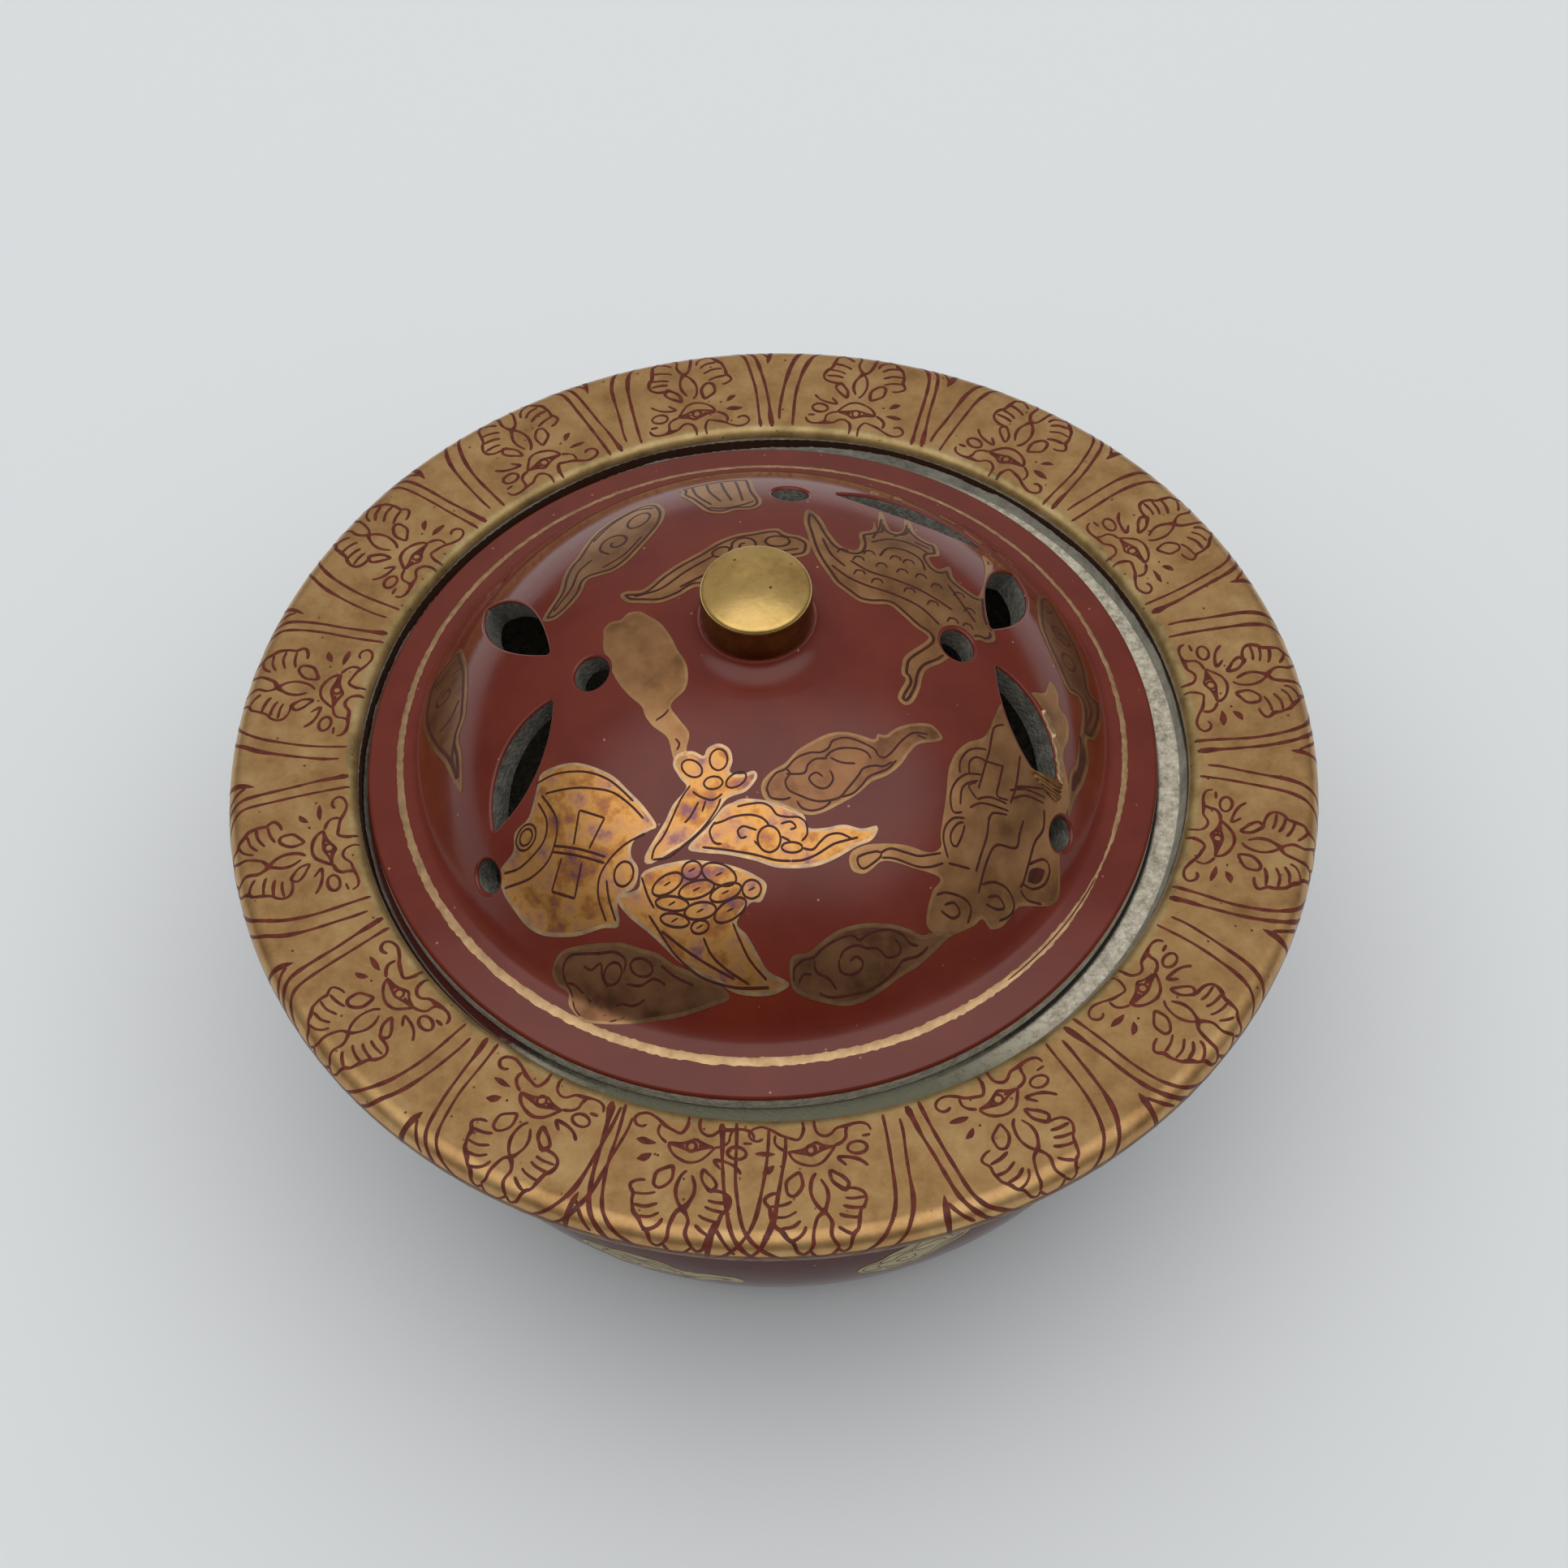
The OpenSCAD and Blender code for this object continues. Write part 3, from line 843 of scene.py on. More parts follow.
# One lotus panel of the rim: across from its middle, and out from the rim's inner edge
PANEL = [
    # feet that curl into volutes
    [(-1.25, -0.8, 0.5), (-1.2, 0.3, 0.55), (-1.75, 1.3), (-2.7, 1.15), (-3.8, 0.8, 0.5), (-4.7, 0.3),
     (-5.8, -0.05), (-6.8, 0.2), (-7.2, 0.8), (-6.8, 1.4), (-6.1, 1.5), (-5.65, 1.2)],
    [(0.1, -0.8, 0.5), (0.05, -0.1, 0.55), (0.3, 0.75), (1, 1.2), (1.7, 1.1), (2.5, 0.55), (3.6, 0.45, 0.6),
     (4.5, 0.3), (5.4, 0.35), (6, 0.7), (6.2, 1.3)],
    [(5, 1.75), (6, 1.7)],
    [(-4.25, 0.8, 0.5), (-4.3, 1.6), (-3.8, 2.2), (-3, 2.6, 0.5)],
    [(2, 2.45, 0.5), (2.9, 2.2), (3.45, 1.7), (3.55, 1), (3.8, 0.45, 0.7)],
    # domed bud with its bead
    [(-2.9, 2.6, 0.5), (-2.45, 3.4), (-1.6, 4), (-0.4, 4.3), (0.6, 4.05), (1.3, 3.4), (1.8, 2.8),
     (2.1, 2.4, 0.5)],
    [(-2.8, 2.65), (-1.8, 2.8), (-1.1, 2.95), (-0.4, 3.05), (0.2, 2.9), (0.9, 2.65), (2, 2.45)],
    [(-2.9, 2.6), (-1.7, 2.45), (-0.9, 2.15), (-0.35, 1.85), (0.05, 1.75), (0.55, 2.05), (1.2, 2.3),
     (2, 2.45)],
    [(-2.2, 2.63, 0.2), (-1.15, 2.6, 0.5)], [(0.3, 2.42, 0.65), (0.9, 2.45, 0.4), (1.4, 2.45, 0.2)],
    oval(-0.42, 2.48, 0.52),
    # leaves beside the bud
    [(-6.45, 2.85, 0.25), (-5.7, 2.85, 0.75), (-5, 2.9, 0.7), (-4.3, 2.85, 0.2)],
    [(-5.6, 5, 0.3), (-5.1, 4.8, 0.85), (-4.7, 4.45, 0.75), (-4.4, 4.1, 0.3)],
    [(-3.8, 4.15, 0.4), (-3.5, 4.1, 0.5)], oval(4.45, 2.85, 1.03, 0.66, 5),
    [(5.1, 5.05, 0.5), (4.6, 4.5), (4, 4.1), (3.1, 3.8), (2.2, 3.75, 0.5), (2.6, 4.3), (3, 4.7, 0.3)],
    [(-3.2, 5.9), (-3.3, 6.65), (-3.15, 7.3), (-2.6, 7.5), (-2, 7), (-1.65, 6.3), (-1.7, 5.5),
     (-1.9, 5, 0.5), (-2.5, 5.3), (-3.2, 5.9)],
    [(1.25, 4.9, 0.5), (1.3, 5.9), (1.8, 6.6), (2.45, 7.1, 0.6), (2.9, 6.5), (2.5, 5.8), (1.9, 5.3),
     (1.25, 4.9, 0.5)],
    # middle leaf and the cross above it
    [(-0.2, 5.05, 0.45), (-0.65, 5.6), (-0.9, 6.5), (-0.9, 7.4), (-0.6, 8.3), (-0.2, 8.9), (0.1, 9.2, 0.65),
     (0.5, 9.8), (0.7, 10.5), (0.55, 11.4), (0.65, 12), (1.2, 13)],
    [(0.25, 5.6, 0.3), (0.7, 6.6), (0.75, 7.6), (0.45, 8.5), (0.1, 9.1, 0.65), (-0.55, 9.6), (-0.9, 10.5),
     (-1.1, 11.5), (-1.1, 12.3), (-1.4, 13)],
    [(-1.4, 13), (-0.8, 13.9), (-0.1, 14.1), (0.6, 13.8), (1.2, 13)],
    # fan of petals on either side
    [(-4.05, 7.05), (-4.7, 7.2), (-5.3, 7.7), (-5.2, 8.2), (-4.85, 8.65, 0.5), (-4.8, 9.4), (-4.6, 10.1),
     (-4.4, 10.6, 0.5), (-3.8, 11.15, 0.6), (-3.35, 11.8), (-2.8, 12.2, 0.5), (-2.4, 13.2), (-1.8, 13.5),
     (-1.4, 13)], [(-4.8, 8.5), (-3.6, 8.3), (-2.7, 7.9)], [(-4.6, 9.7), (-3.4, 9.65), (-2.35, 9.05)],
    [(-3.9, 10.8, 0.5), (-2.8, 10.6), (-2.05, 9.95)], [(-3.2, 12), (-2.4, 11.7), (-1.8, 11.1),
                                                       (-1.6, 10.45)],
    [(2.45, 7.1, 0.5), (3.1, 7.1), (3.8, 7.3), (4.3, 7.75), (4.4, 8.4), (4.1, 9.1, 0.5), (3.7, 9.55),
     (3.45, 10.4, 0.5), (3.2, 11.4), (2.75, 11.8, 0.55), (2.5, 12.4), (2.3, 13.2), (1.7, 13.6), (1.2, 13)],
    [(4.2, 8.2), (3, 8.2), (2.2, 8)], [(4, 9.3), (2.7, 9.1), (1.9, 8.75)],
    [(3.5, 10.25), (2.8, 10.2), (1.9, 9.9), (1.45, 9.6)], [(2.6, 11.8), (1.9, 11.4), (1.25, 10.8)],
    # double sides of the lotus petal, and the dart between two petals
    [(-10.3, -0.4, 1.1), (-10, 1.3, 0.75), (-9.75, 3.2, 0.45), (-9.45, 5, 0.42), (-9.2, 6.8, 0.45),
     (-8.9, 8.6, 0.48), (-8.6, 10.1, 0.52), (-8.25, 11.2, 0.52), (-7.7, 12.2, 0.55), (-6.7, 13.5, 0.6),
     (-5.2, 14.9, 0.6), (-3.5, 15.8, 0.4)],
    [(-8.7, -0.5, 0.65), (-8.55, 0.8, 0.5), (-8.4, 2.3), (-8.25, 4.1), (-8.1, 5.9), (-7.9, 7.4),
     (-7.6, 9.3), (-7.3, 10.6, 0.45), (-6.9, 11.5, 0.48), (-6.2, 12.4, 0.5), (-5, 13.4, 0.55),
     (-3.4, 14.4, 0.5), (-2.4, 14.8, 0.3)],
    [(7.95, -0.1), (7.8, 2.6), (7.6, 5), (7.3, 7.2), (6.9, 9.2, 0.52), (6.35, 10.8, 0.52), (5.8, 11.8),
     (5, 12.9, 0.5), (3.6, 14.2, 0.5), (2.4, 14.8, 0.3)],
    [(9.65, 0.7, 0.4), (9.6, 2.2, 0.45), (9.3, 4.3), (8.95, 6.8), (8.6, 9, 0.6), (8.2, 10.4, 0.6),
     (7.8, 11.3, 0.65), (7, 12.8, 0.5), (5.6, 14.4, 0.5), (4, 15.6, 0.4)],
    [(-9.8, 9.9, 0.15), (-9.95, 10.9, 0.75), (-10.1, 12.2, 0.75), (-10.15, 13.6, 0.65),
     (-10.15, 14.6, 0.5)], [(-9.75, 10.8), (-9.3, 11.6), (-8.6, 12.6), (-7.8, 13.6, 0.45)]]
# Bearing in degrees of each panel
PANEL_TURNS = [-86.6, -63.8, -40.8, -16.7, 7, 31.4, 54.5, 77, 99.5, 122.5, 146, 170, 194.5, 218, 241, 259.5]
PANEL_R = 53                                # radius at which a panel's widths are measured


def paint_rim():
    """The lotus panels all round the rim, each drawn a little differently."""
    lines = Shell("rim_painting")
    hand = random.Random(3)
    for turn in PANEL_TURNS:
        wave = [hand.uniform(0, 2 * pi) for _ in range(4)]
        for stroke in PANEL:
            slip = hand.gauss(0, 0.05), hand.gauss(0, 0.05), hand.uniform(0.85, 1.15)
            path = [(u + slip[0] + 0.07 * sin(0.6 * v + wave[0]) + 0.03 * sin(2.3 * u + wave[1]),
                     v + slip[1] + 0.06 * sin(0.7 * u + wave[2]),
                     w * slip[2] * (1 + 0.12 * sin(2 * (u + v) + wave[3])))
                    for u, v, w in smooth(stroke)]
            if stroke[0] == stroke[-1]:
                path[-1] = path[0]
            brush(lines, path, lambda u, v, lift: on_rim(radians(turn) + u / PANEL_R, v, lift))
    lines.build([LINE_RED], "burner", "red_glaze", crease=60)


def near(p, outline):
    """Distance from p to the nearest point of a finely stepped outline."""
    return min(hypot(p[0] - q[0], p[1] - q[1]) for q in outline)


def within(p, outline):
    """Whether p lies inside a closed outline."""
    odd = False
    for a, b in zip(outline, outline[1:]):
        if (a[1] > p[1]) != (b[1] > p[1]) and p[0] < a[0] + (p[1] - a[1]) * (b[0] - a[0]) / (b[1] - a[1]):
            odd = not odd
    return odd


def inset(outline, depth):
    """A closed outline moved in by depth, without the stretches where it would fold over."""
    moved = []
    sense = 1 if within((outline[0][0] + 0.01 * (outline[0][1] - outline[1][1]),
                         outline[0][1] + 0.01 * (outline[1][0] - outline[0][0])), outline) else -1
    for before, spot, after in zip([outline[-2]] + outline, outline[:-1], outline[1:]):
        dx, dy = after[0] - before[0], after[1] - before[1]
        size = hypot(dx, dy) or 1
        p = (spot[0] - sense * dy / size * depth, spot[1] + sense * dx / size * depth)
        if within(p, outline) and near(p, outline) > 0.85 * depth:
            moved.append(p)
    return moved


def clear_of_holes(x, y, margin, holes=HOLES):
    """Whether (x, y) lies farther than margin outside every smoke hole."""
    return all(hole.outside(x, y) > margin for hole in holes)


def gild(shell, outline, finish_number, place=on_lid, holes=HOLES):
    """A thin closed leaf of gold on the dome, cut away around the smoke holes, paler at its edge."""
    border = 0.3
    loop = [p[:2] for p in smooth(outline + outline[:1], 0.35)]
    inner = inset(loop, border)
    gap = LIP + 0.1
    cuts = [[(p.x, p.y) for p in (hole.at(a, b, hole.drop(a, b)) for a, b in hole.ring(gap))]
            for hole in holes if any(hole.outside(*p) < gap + 1 for p in loop)]
    points, edges = [], []
    for ring in [loop[:-1]] + cuts:
        first = len(points)
        edges += [(first + i, first + (i + 1) % len(ring)) for i in range(len(ring))]
        points += ring
    points += inner
    xs, ys, pitch = [p[0] for p in loop], [p[1] for p in loop], 0.8
    for i in range(int((max(xs) - min(xs)) / pitch)):
        for j in range(int((max(ys) - min(ys)) / pitch)):
            p = (min(xs) + pitch * (i + 0.3 + j % 2 / 2), min(ys) + pitch * (j + 0.5))
            if within(p, loop) and near(p, loop) > border + 0.2:
                points.append(p)
    flat, _, triangles, _, _, _ = delaunay_2d_cdt([Vector(p) for p in points], edges, [], 0, 1e-6)
    kept = []
    for triangle in triangles:
        middle = sum((flat[i] for i in triangle), Vector((0, 0))) / 3
        if within(middle, loop) and clear_of_holes(*middle, gap - 0.03, holes):
            kept.append((triangle, finish_number + (near(middle, loop) > border)))
    upper = shell.add([place(p.x, p.y, GILT_RISE) for p in flat])
    lower = shell.add([place(p.x, p.y, -SUNK) for p in flat])
    sides = {}
    for (a, b, c), number in kept:
        shell.face((upper[a], upper[b], upper[c]), number)
        shell.face((lower[c], lower[b], lower[a]), number)
        for edge in ((a, b), (b, c), (c, a)):
            sides[edge] = number
    for (a, b), number in sides.items():
        if (b, a) not in sides:
            shell.face((upper[b], upper[a], lower[a], lower[b]), number)


def draw(shell, stroke, place=on_lid, holes=HOLES, width=FINE):
    """A painted line on the dome's gold, broken where it would cross a smoke hole."""
    path = smooth([tuple(p) + (width,) * (3 - len(p)) for p in stroke])
    runs, run = [], []
    for spot in path:
        if clear_of_holes(spot[0], spot[1], LIP + 0.2, holes):
            run.append(spot)
        elif run:
            runs.append(run)
            run = []
    for run in runs + [run]:
        if len(run) > 2:
            brush(shell, run, place, LINE_RISE, GILT_RISE)


# Middle, half lengths and tilt of each scale of the petal, and middle of each feather of the crane
PETAL_SCALES = [(-9.8, -25.9, 1.6, 0.75, 15), (-7.3, -25.1, 1, 0.75, 0), (-4.6, -25.7, 1.8, 0.85, -20),
                (-6.9, -26.7, 1.8, 0.7, 5), (-9.4, -27.5, 1.7, 0.55, -12), (-4, -27.2, 1.6, 0.65, 12),
                (-6.6, -28.4, 1.6, 0.65, 0), (-9.2, -28.8, 1.5, 0.5, -15), (-6.7, -29.6, 0.9, 0.5, 0),
                (-1.4, -27.1, 0.95, 0.75, 0), (-3.6, -28.6, 1.7, 0.75, 20)]
CRANE_SCALES = [(9.2, 10.4), (10.8, 9.4), (12, 10.6), (14.8, 10.4), (16.2, 10.2), (13.2, 8.8), (15.4, 8.4),
                (17.4, 8.2), (19, 7.2), (16, 5.6), (18.4, 4.4), (21.4, 6.8), (22.4, 4.8), (20.4, 2.6),
                (22, 2.4), (12.6, 6.2), (10.8, 7.2)]
PLAIN, LUSTRE, RUBBED_SHADED = 0, 2, 4               # which gold: plain, lustred orange and violet, and rubbed thin and darkened as painted shade
# Painted motifs of the lid: gold, outline, lines; in millimetres from the lid's axis, seen from above
MOTIFS = [
    # drum-shaped jar
    (LUSTRE, [(-23, -13.8), (-22.6, -12.9), (-21, -12.7), (-19, -13), (-17, -14), (-15, -15.4),
              (-13.4, -17.2), (-12, -18.8), (-10.7, -20.8), (-11.3, -21.1), (-13, -21.7), (-13.4, -22.9),
              (-12.7, -24.2), (-13.2, -25.6), (-14.9, -26.2), (-14.9, -28.2), (-16.6, -28), (-19, -27.9),
              (-21, -27.4), (-23, -26.6), (-24.6, -25.4), (-26, -23.6), (-27.2, -21.6), (-27.4, -19.8),
              (-25.9, -18.9), (-25.6, -17.3), (-24.2, -16.7), (-23.6, -15.6)],
     [[(-22.6, -15), (-21, -18), (-21.8, -20.8), (-24, -21.8), (-27, -21.4)],
      [(-23, -15.6), (-22.1, -17.6), (-22.6, -19.4), (-25, -20.5), (-27, -20.2)],
      [(-11.9, -21.3), (-14, -21.9), (-15.6, -22.8), (-16.7, -24), (-16.9, -25.6), (-16.2, -27.6)],
      [(-16, -24.4), (-15.8, -26), (-15.2, -27.8)],
      [(-21.5, -20), (-18.8, -21.1), (-16, -22.5)], [(-21.6, -20.5), (-19, -21.6), (-16.1, -23)],
      [(-18.6, -17.7), (-19.3, -20.6)], [(-16, -19.1), (-17.7, -21.4)], [(-18.6, -17.7), (-16, -19.1)],
      [(-20.6, -21.3), (-21.8, -23.7)], [(-18.5, -22.3), (-19.4, -25)], [(-21.8, -23.7), (-19.4, -25)],
      [(-23.2, -13.7), (-21, -13.5), (-18, -14.2), (-15.4, -15.7), (-13, -18.2)],
      [(-22.2, -15), (-19.4, -15.4), (-17, -16.1), (-15, -17), (-13.2, -18.6), (-12, -20)],
      oval(-14.2, -24.3, 1), oval(-24.4, -18.2, 1.1), oval(-24.4, -18.2, 0.7)]),
    # gourd with its handle
    (PLAIN, [(-16, 0.6), (-16, 1.6), (-15.2, 2.3), (-14.2, 2.3), (-13.4, 3), (-12.2, 2.9), (-11.2, 2),
             (-10, 0.8), (-9, -1), (-8.2, -3), (-7.4, -4.6), (-7.2, -6.4), (-7.6, -7.8), (-9, -9.2),
             (-8.2, -10.8), (-7.2, -12.4), (-7.5, -14), (-7.4, -15), (-8.4, -15.8), (-8.9, -14.6),
             (-9.4, -12.6), (-10.8, -11.2), (-11.6, -10), (-12, -8.8), (-13.2, -7.4), (-14.4, -5.6),
             (-15.2, -3.6), (-16, -1)],
     [[(-8.6, -12.8), (-8.2, -13.4), (-8.5, -14)], [(-10.6, -10.6), (-9.8, -10.2), (-9.2, -9.6)]]),
    # sleeve and knot of the sash
    (LUSTRE, [(-8.9, -15.4), (-8.4, -14.4), (-6.9, -14.3), (-5.8, -14.9), (-5.4, -14.2), (-4.3, -13.8),
              (-3.2, -14.4), (-2.9, -15.6), (-3.2, -16.7), (-2, -17), (-0.8, -16.7), (-0.5, -17.4),
              (-1.6, -18.6), (-3, -19), (-3.8, -19.4), (-5, -20.8), (-7.4, -22.6), (-9, -23.2),
              (-11.4, -24), (-12, -23.3), (-10, -20.8), (-9, -19.2), (-7.6, -17.8), (-8.2, -16.8)],
     [oval(-7, -16, 1.15, 0.75, -35), oval(-4.3, -15.4, 1.05, 0.9, 90), oval(-2.6, -17.5, 1.1, 0.62, 25),
      oval(-4.9, -17.6, 0.95, 0.6), [(-7, -18.2), (-6.2, -18.8), (-5, -19.2), (-4, -18.7)],
      [(-7.2, -17.6), (-8.2, -18.8), (-9, -20.2), (-10, -21.8), (-11, -22.8), (-11.3, -23.7)],
      [(-6.4, -19.2), (-7.2, -20.4), (-7.9, -21)], [(-5.7, -19.2), (-6.1, -20.2)],
      [(-4.2, -19.1), (-4.6, -20), (-5.6, -21.2), (-6.8, -22.2), (-8.2, -23), (-9.6, -23.7),
       (-11.2, -23.7)]]),
    # flowing sash with scrolls
    (LUSTRE, [(-3, -19.6), (-2, -19.3), (0, -19.5), (2, -20), (4, -20.9), (4.4, -22), (6, -22), (8, -21.6),
              (9.8, -21.8), (11.3, -21.4), (11.3, -22), (10.6, -22.8), (9.2, -23.4), (7, -24.6), (5, -25.3),
              (3, -25.5), (1, -25.4), (-1, -24.8), (-4, -24.1), (-6, -23.8), (-7.6, -23.2), (-5.6, -21.6),
              (-4, -20)],
     [[(-2.6, -20), (-1.2, -19.8), (0, -19.8), (0.8, -20.2), (1.4, -20.9), (2.6, -21.1), (3.5, -21.1),
       (4.2, -21.6), (4.3, -22.6), (3.7, -23.2)],
      [(-5, -21.4), (-4, -21.2), (-3, -20.9), (-1.4, -20.8), (-0.2, -21.1), (0.4, -21.6), (0.5, -21.9)],
      oval(0.5, -23, 1.15), oval(2.75, -23.75, 1.05, 0.45), [(1.7, -21.7), (2.7, -21.5), (3.2, -22),
                                                             (2.6, -22.2)],
      [(1.7, -22.8), (2.6, -23.2)], [(-0.7, -22.2), (-1.3, -22), (-2.1, -21.8), (-2.6, -22.2),
                                     (-2.3, -22.8), (-1.7, -22.7)],
      [(-1, -23.1), (-0.3, -23.8)], [(-4.8, -21.2), (-5.4, -22), (-5, -23), (-4.2, -23.2)],
      [(3.8, -23.8), (4.8, -23.9), (5.6, -23.2), (6.4, -22.6), (7.6, -22.4), (8.8, -22.8)],
      [(2.6, -24.9), (3.8, -24.8), (5.2, -24.3), (6.8, -23.4), (8, -23), (9.4, -22.6)],
      [(-6.2, -23.3), (-3, -23.9), (-1, -24.3), (1, -24.8), (2.6, -24.9)]]),
    # scaled petal
    (LUSTRE, [(-12.1, -24.5), (-12.8, -25.8), (-15, -26), (-14, -27.6), (-11.8, -29.4), (-10.4, -30.6),
              (-9, -31.8), (-7, -33), (-5, -33.8), (-3, -34.6), (0, -34.8), (2, -34.2), (1.6, -33.8),
              (0, -33.2), (-1, -32), (-2, -30.6), (-3, -29.6), (-1.6, -28.2), (-0.5, -28.1), (0.1, -26.8),
              (-1, -26), (-2.4, -25.4), (-4, -24.9), (-6.4, -24.4), (-8.4, -24.2)],
     [oval(x, y, long_r, short_r, tilt) for x, y, long_r, short_r, tilt in PETAL_SCALES]
     + [[(x - 0.4, y - 0.1, 0.16), (x + 0.35, y + 0.12, 0.2)] for x, y, *_ in PETAL_SCALES]
     + [[(-11.8, -28), (-10.8, -29.4), (-9.4, -31.2), (-7.4, -32.8), (-5.6, -33.6), (-3, -34.2),
         (0, -34.3)],
        [(-6.4, -30.4), (-5.6, -31.8), (-4, -33), (-2, -34)], [(-3.4, -29.6), (-2.8, -30.8), (-1.8, -32.4),
                                                               (-0.2, -33.8)],
        [(-10.6, -29.4), (-8.4, -31), (-6, -32.4), (-3.4, -33.6)], [(-12.4, -24.9), (-11.8, -26.6),
                                                                    (-11.2, -27.6)]]),
    # clouds, from the front round the lid
    (RUBBED_SHADED, [(-0.1, -18.8), (0, -17.8), (1, -16.8), (2.4, -16), (3.6, -14.8), (5.2, -13.8), (6.8, -13),
            (8.4, -12.7), (10, -12.9), (11.4, -13.2), (11.8, -12.6), (12.6, -12.6), (13.6, -11.8),
            (15, -11.1), (16.6, -10.7), (17.6, -10.8), (18.5, -11.8), (17.8, -12.4), (16, -13), (15, -14),
            (14, -15.4), (12.6, -16.6), (11, -17.4), (9.6, -18.6), (8, -19.6), (6, -20.6), (4.6, -20.9),
            (3.2, -20.6), (1.6, -20), (0.4, -19.6)],
     [[(0.4, -18.8), (0.6, -18), (1.4, -17), (2.4, -16.6), (3.4, -15.6), (4.8, -15), (6, -14.9),
       (6.8, -14.4), (7.2, -13.7), (8.4, -13.3), (9.4, -13.4), (10.6, -13.8), (11.4, -14.2), (11.8, -14.8),
       (12.4, -14.9), (13.2, -14.2), (14, -13.2), (14.8, -12.4), (15.6, -11.9), (17, -11.8)],
      [(2.4, -16.6), (2.8, -17), (2.3, -17.8), (2.6, -18.6), (3.4, -19), (4.8, -19.5), (6, -19.6),
       (7.6, -19.2), (8.4, -18.4), (9.6, -17), (10.2, -16.2), (11.4, -15.8), (12.2, -15.8), (13.2, -15.2)],
      [(2.4, -17.1), (4.2, -17), (4.6, -16.2), (5.4, -15.6), (6.6, -15.5)],
      [(6.4, -15.4), (7, -14.8), (8, -14.4), (9.6, -14.3), (10.6, -14.6), (11, -15.2)],
      [(6.9, -15.4), (8, -15.8), (9.4, -15.8)],
      [(6.8, -16.6), (7.1, -17.4), (6.6, -18.2), (5.8, -18.4), (5, -18), (4.7, -17.4), (5.4, -16.9),
       (6.1, -17.3)],
      [(0.5, -18.6), (0.8, -19.3), (2, -19.5), (2.8, -19.3)], [(3.4, -19.6), (3.8, -20.2), (4.8, -20.5),
                                                               (6, -20.2), (6.8, -19.6)],
      [(7.9, -19.1), (9, -18.7), (10, -17.8), (10.8, -16.9), (12.6, -16), (13.6, -15)],
      [(15.8, -12.1), (16.8, -12.3)]]),
    (RUBBED_SHADED, [(-22.2, -29.8), (-22, -29), (-21, -28.4), (-19, -28.6), (-17, -29), (-15, -29.4), (-13, -30.2),
            (-11, -31), (-9.4, -32), (-7.4, -32.8), (-5, -33.8), (-4, -34.8), (-6, -35.2), (-9, -35.5),
            (-12, -35.4), (-15, -35.2), (-17, -35), (-19, -34.6), (-20, -33.6), (-20.6, -32.6),
            (-20.6, -31.6), (-21.6, -30.8)],
     [[(-19.4, -34), (-20, -33), (-20.2, -31.8), (-21, -30.2), (-20.8, -29.3), (-20, -29), (-18.6, -29.3),
       (-17, -29.7), (-15.4, -30), (-14.4, -30.8), (-14.7, -31.6)],
      [(-20.6, -30.8), (-19.8, -31.2), (-19, -32), (-18.2, -32.8), (-17.2, -33.4)],
      oval(-15.8, -31.4, 0.95, 0.75),
      [(-18.8, -30.1), (-18, -30.6), (-17, -30.4), (-16.9, -31.4), (-16.4, -32.2)],
      oval(-12.8, -31.6, 1.2, 0.6, -20),
      [(-14.4, -32.4), (-13, -32.8), (-11.6, -32.6), (-10.4, -33.2)], [(-17, -34.2), (-15.4, -33.6),
                                                                       (-13.8, -34), (-12.6, -33.8)],
      [(-16.4, -34.8), (-14.6, -34.6)], [(-10.8, -31.8), (-9.4, -32.8), (-7.6, -33.6)]]),
    (RUBBED_SHADED, [(2.1, -33.4), (2.4, -32.2), (4, -31.9), (5.2, -31.2), (7, -30.2), (9, -29.6), (11, -29.3),
            (12.8, -29.2), (14.4, -29.3), (15.6, -29.5), (17, -29), (19, -28.6), (18, -29.4), (16.6, -30.6),
            (15, -31.8), (13.2, -32.8), (11.6, -33.8), (9.6, -34.8), (7.6, -35.3), (5.4, -35.2),
            (3.6, -34.9), (2.4, -34.4)],
     [[(2.5, -33.9), (2.6, -33), (3.6, -32.4), (4.6, -32.2), (5.4, -31.6), (6.8, -30.9), (8.4, -30.4),
       (9.2, -30.7), (10, -30.2), (11.2, -29.8), (12.4, -29.6), (13.6, -29.8), (14.4, -30.3),
       (15.2, -30.3)],
      [(7.2, -32.2), (7.6, -31.6), (8.8, -31.1), (10, -31.2), (11, -31.1), (12, -31.6), (13.2, -31.2),
       (13.3, -30.6), (12.8, -30.2)],
      [(7.1, -32.2), (7.2, -33), (8.2, -33.2), (9.2, -32.8), (9.5, -32.2), (8.8, -31.9), (8.2, -32.3)],
      [(4.6, -32.3), (4.8, -33.2), (6, -33.6), (6.8, -34.3)], [(3, -34), (3.5, -33.4), (4.3, -33.4)],
      [(5, -34.6), (6.4, -34.8), (9.2, -34.3), (11.2, -33.5), (12.8, -32.4), (13.6, -31.6), (15.2, -31),
       (16.2, -30.2)]]),
    (PLAIN, [(-14.3, 5.8), (-13.6, 6.2), (-11.8, 6), (-10, 7.6), (-8.2, 9), (-6, 10.4), (-4, 12), (-2, 13),
             (0, 13.4), (1.4, 13.8), (2.6, 13.8), (3.4, 13), (4.8, 12.6), (5.8, 11.6), (5.8, 10.2),
             (5.2, 9.2), (3, 8.6), (0, 8.2), (-2.6, 6.6), (-4.8, 4.2), (-6, 5.2), (-7, 4.9), (-8, 4.2),
             (-10, 3.6), (-12, 4), (-13.6, 4.6)],
     [spiral(-1, 11, 1.6, 200, -1.3), [(-12.8, 5.2), (-10, 5.6), (-7.4, 7.6), (-4.4, 9.6)],
      oval(2.4, 11.6, 1.3, 0.9),
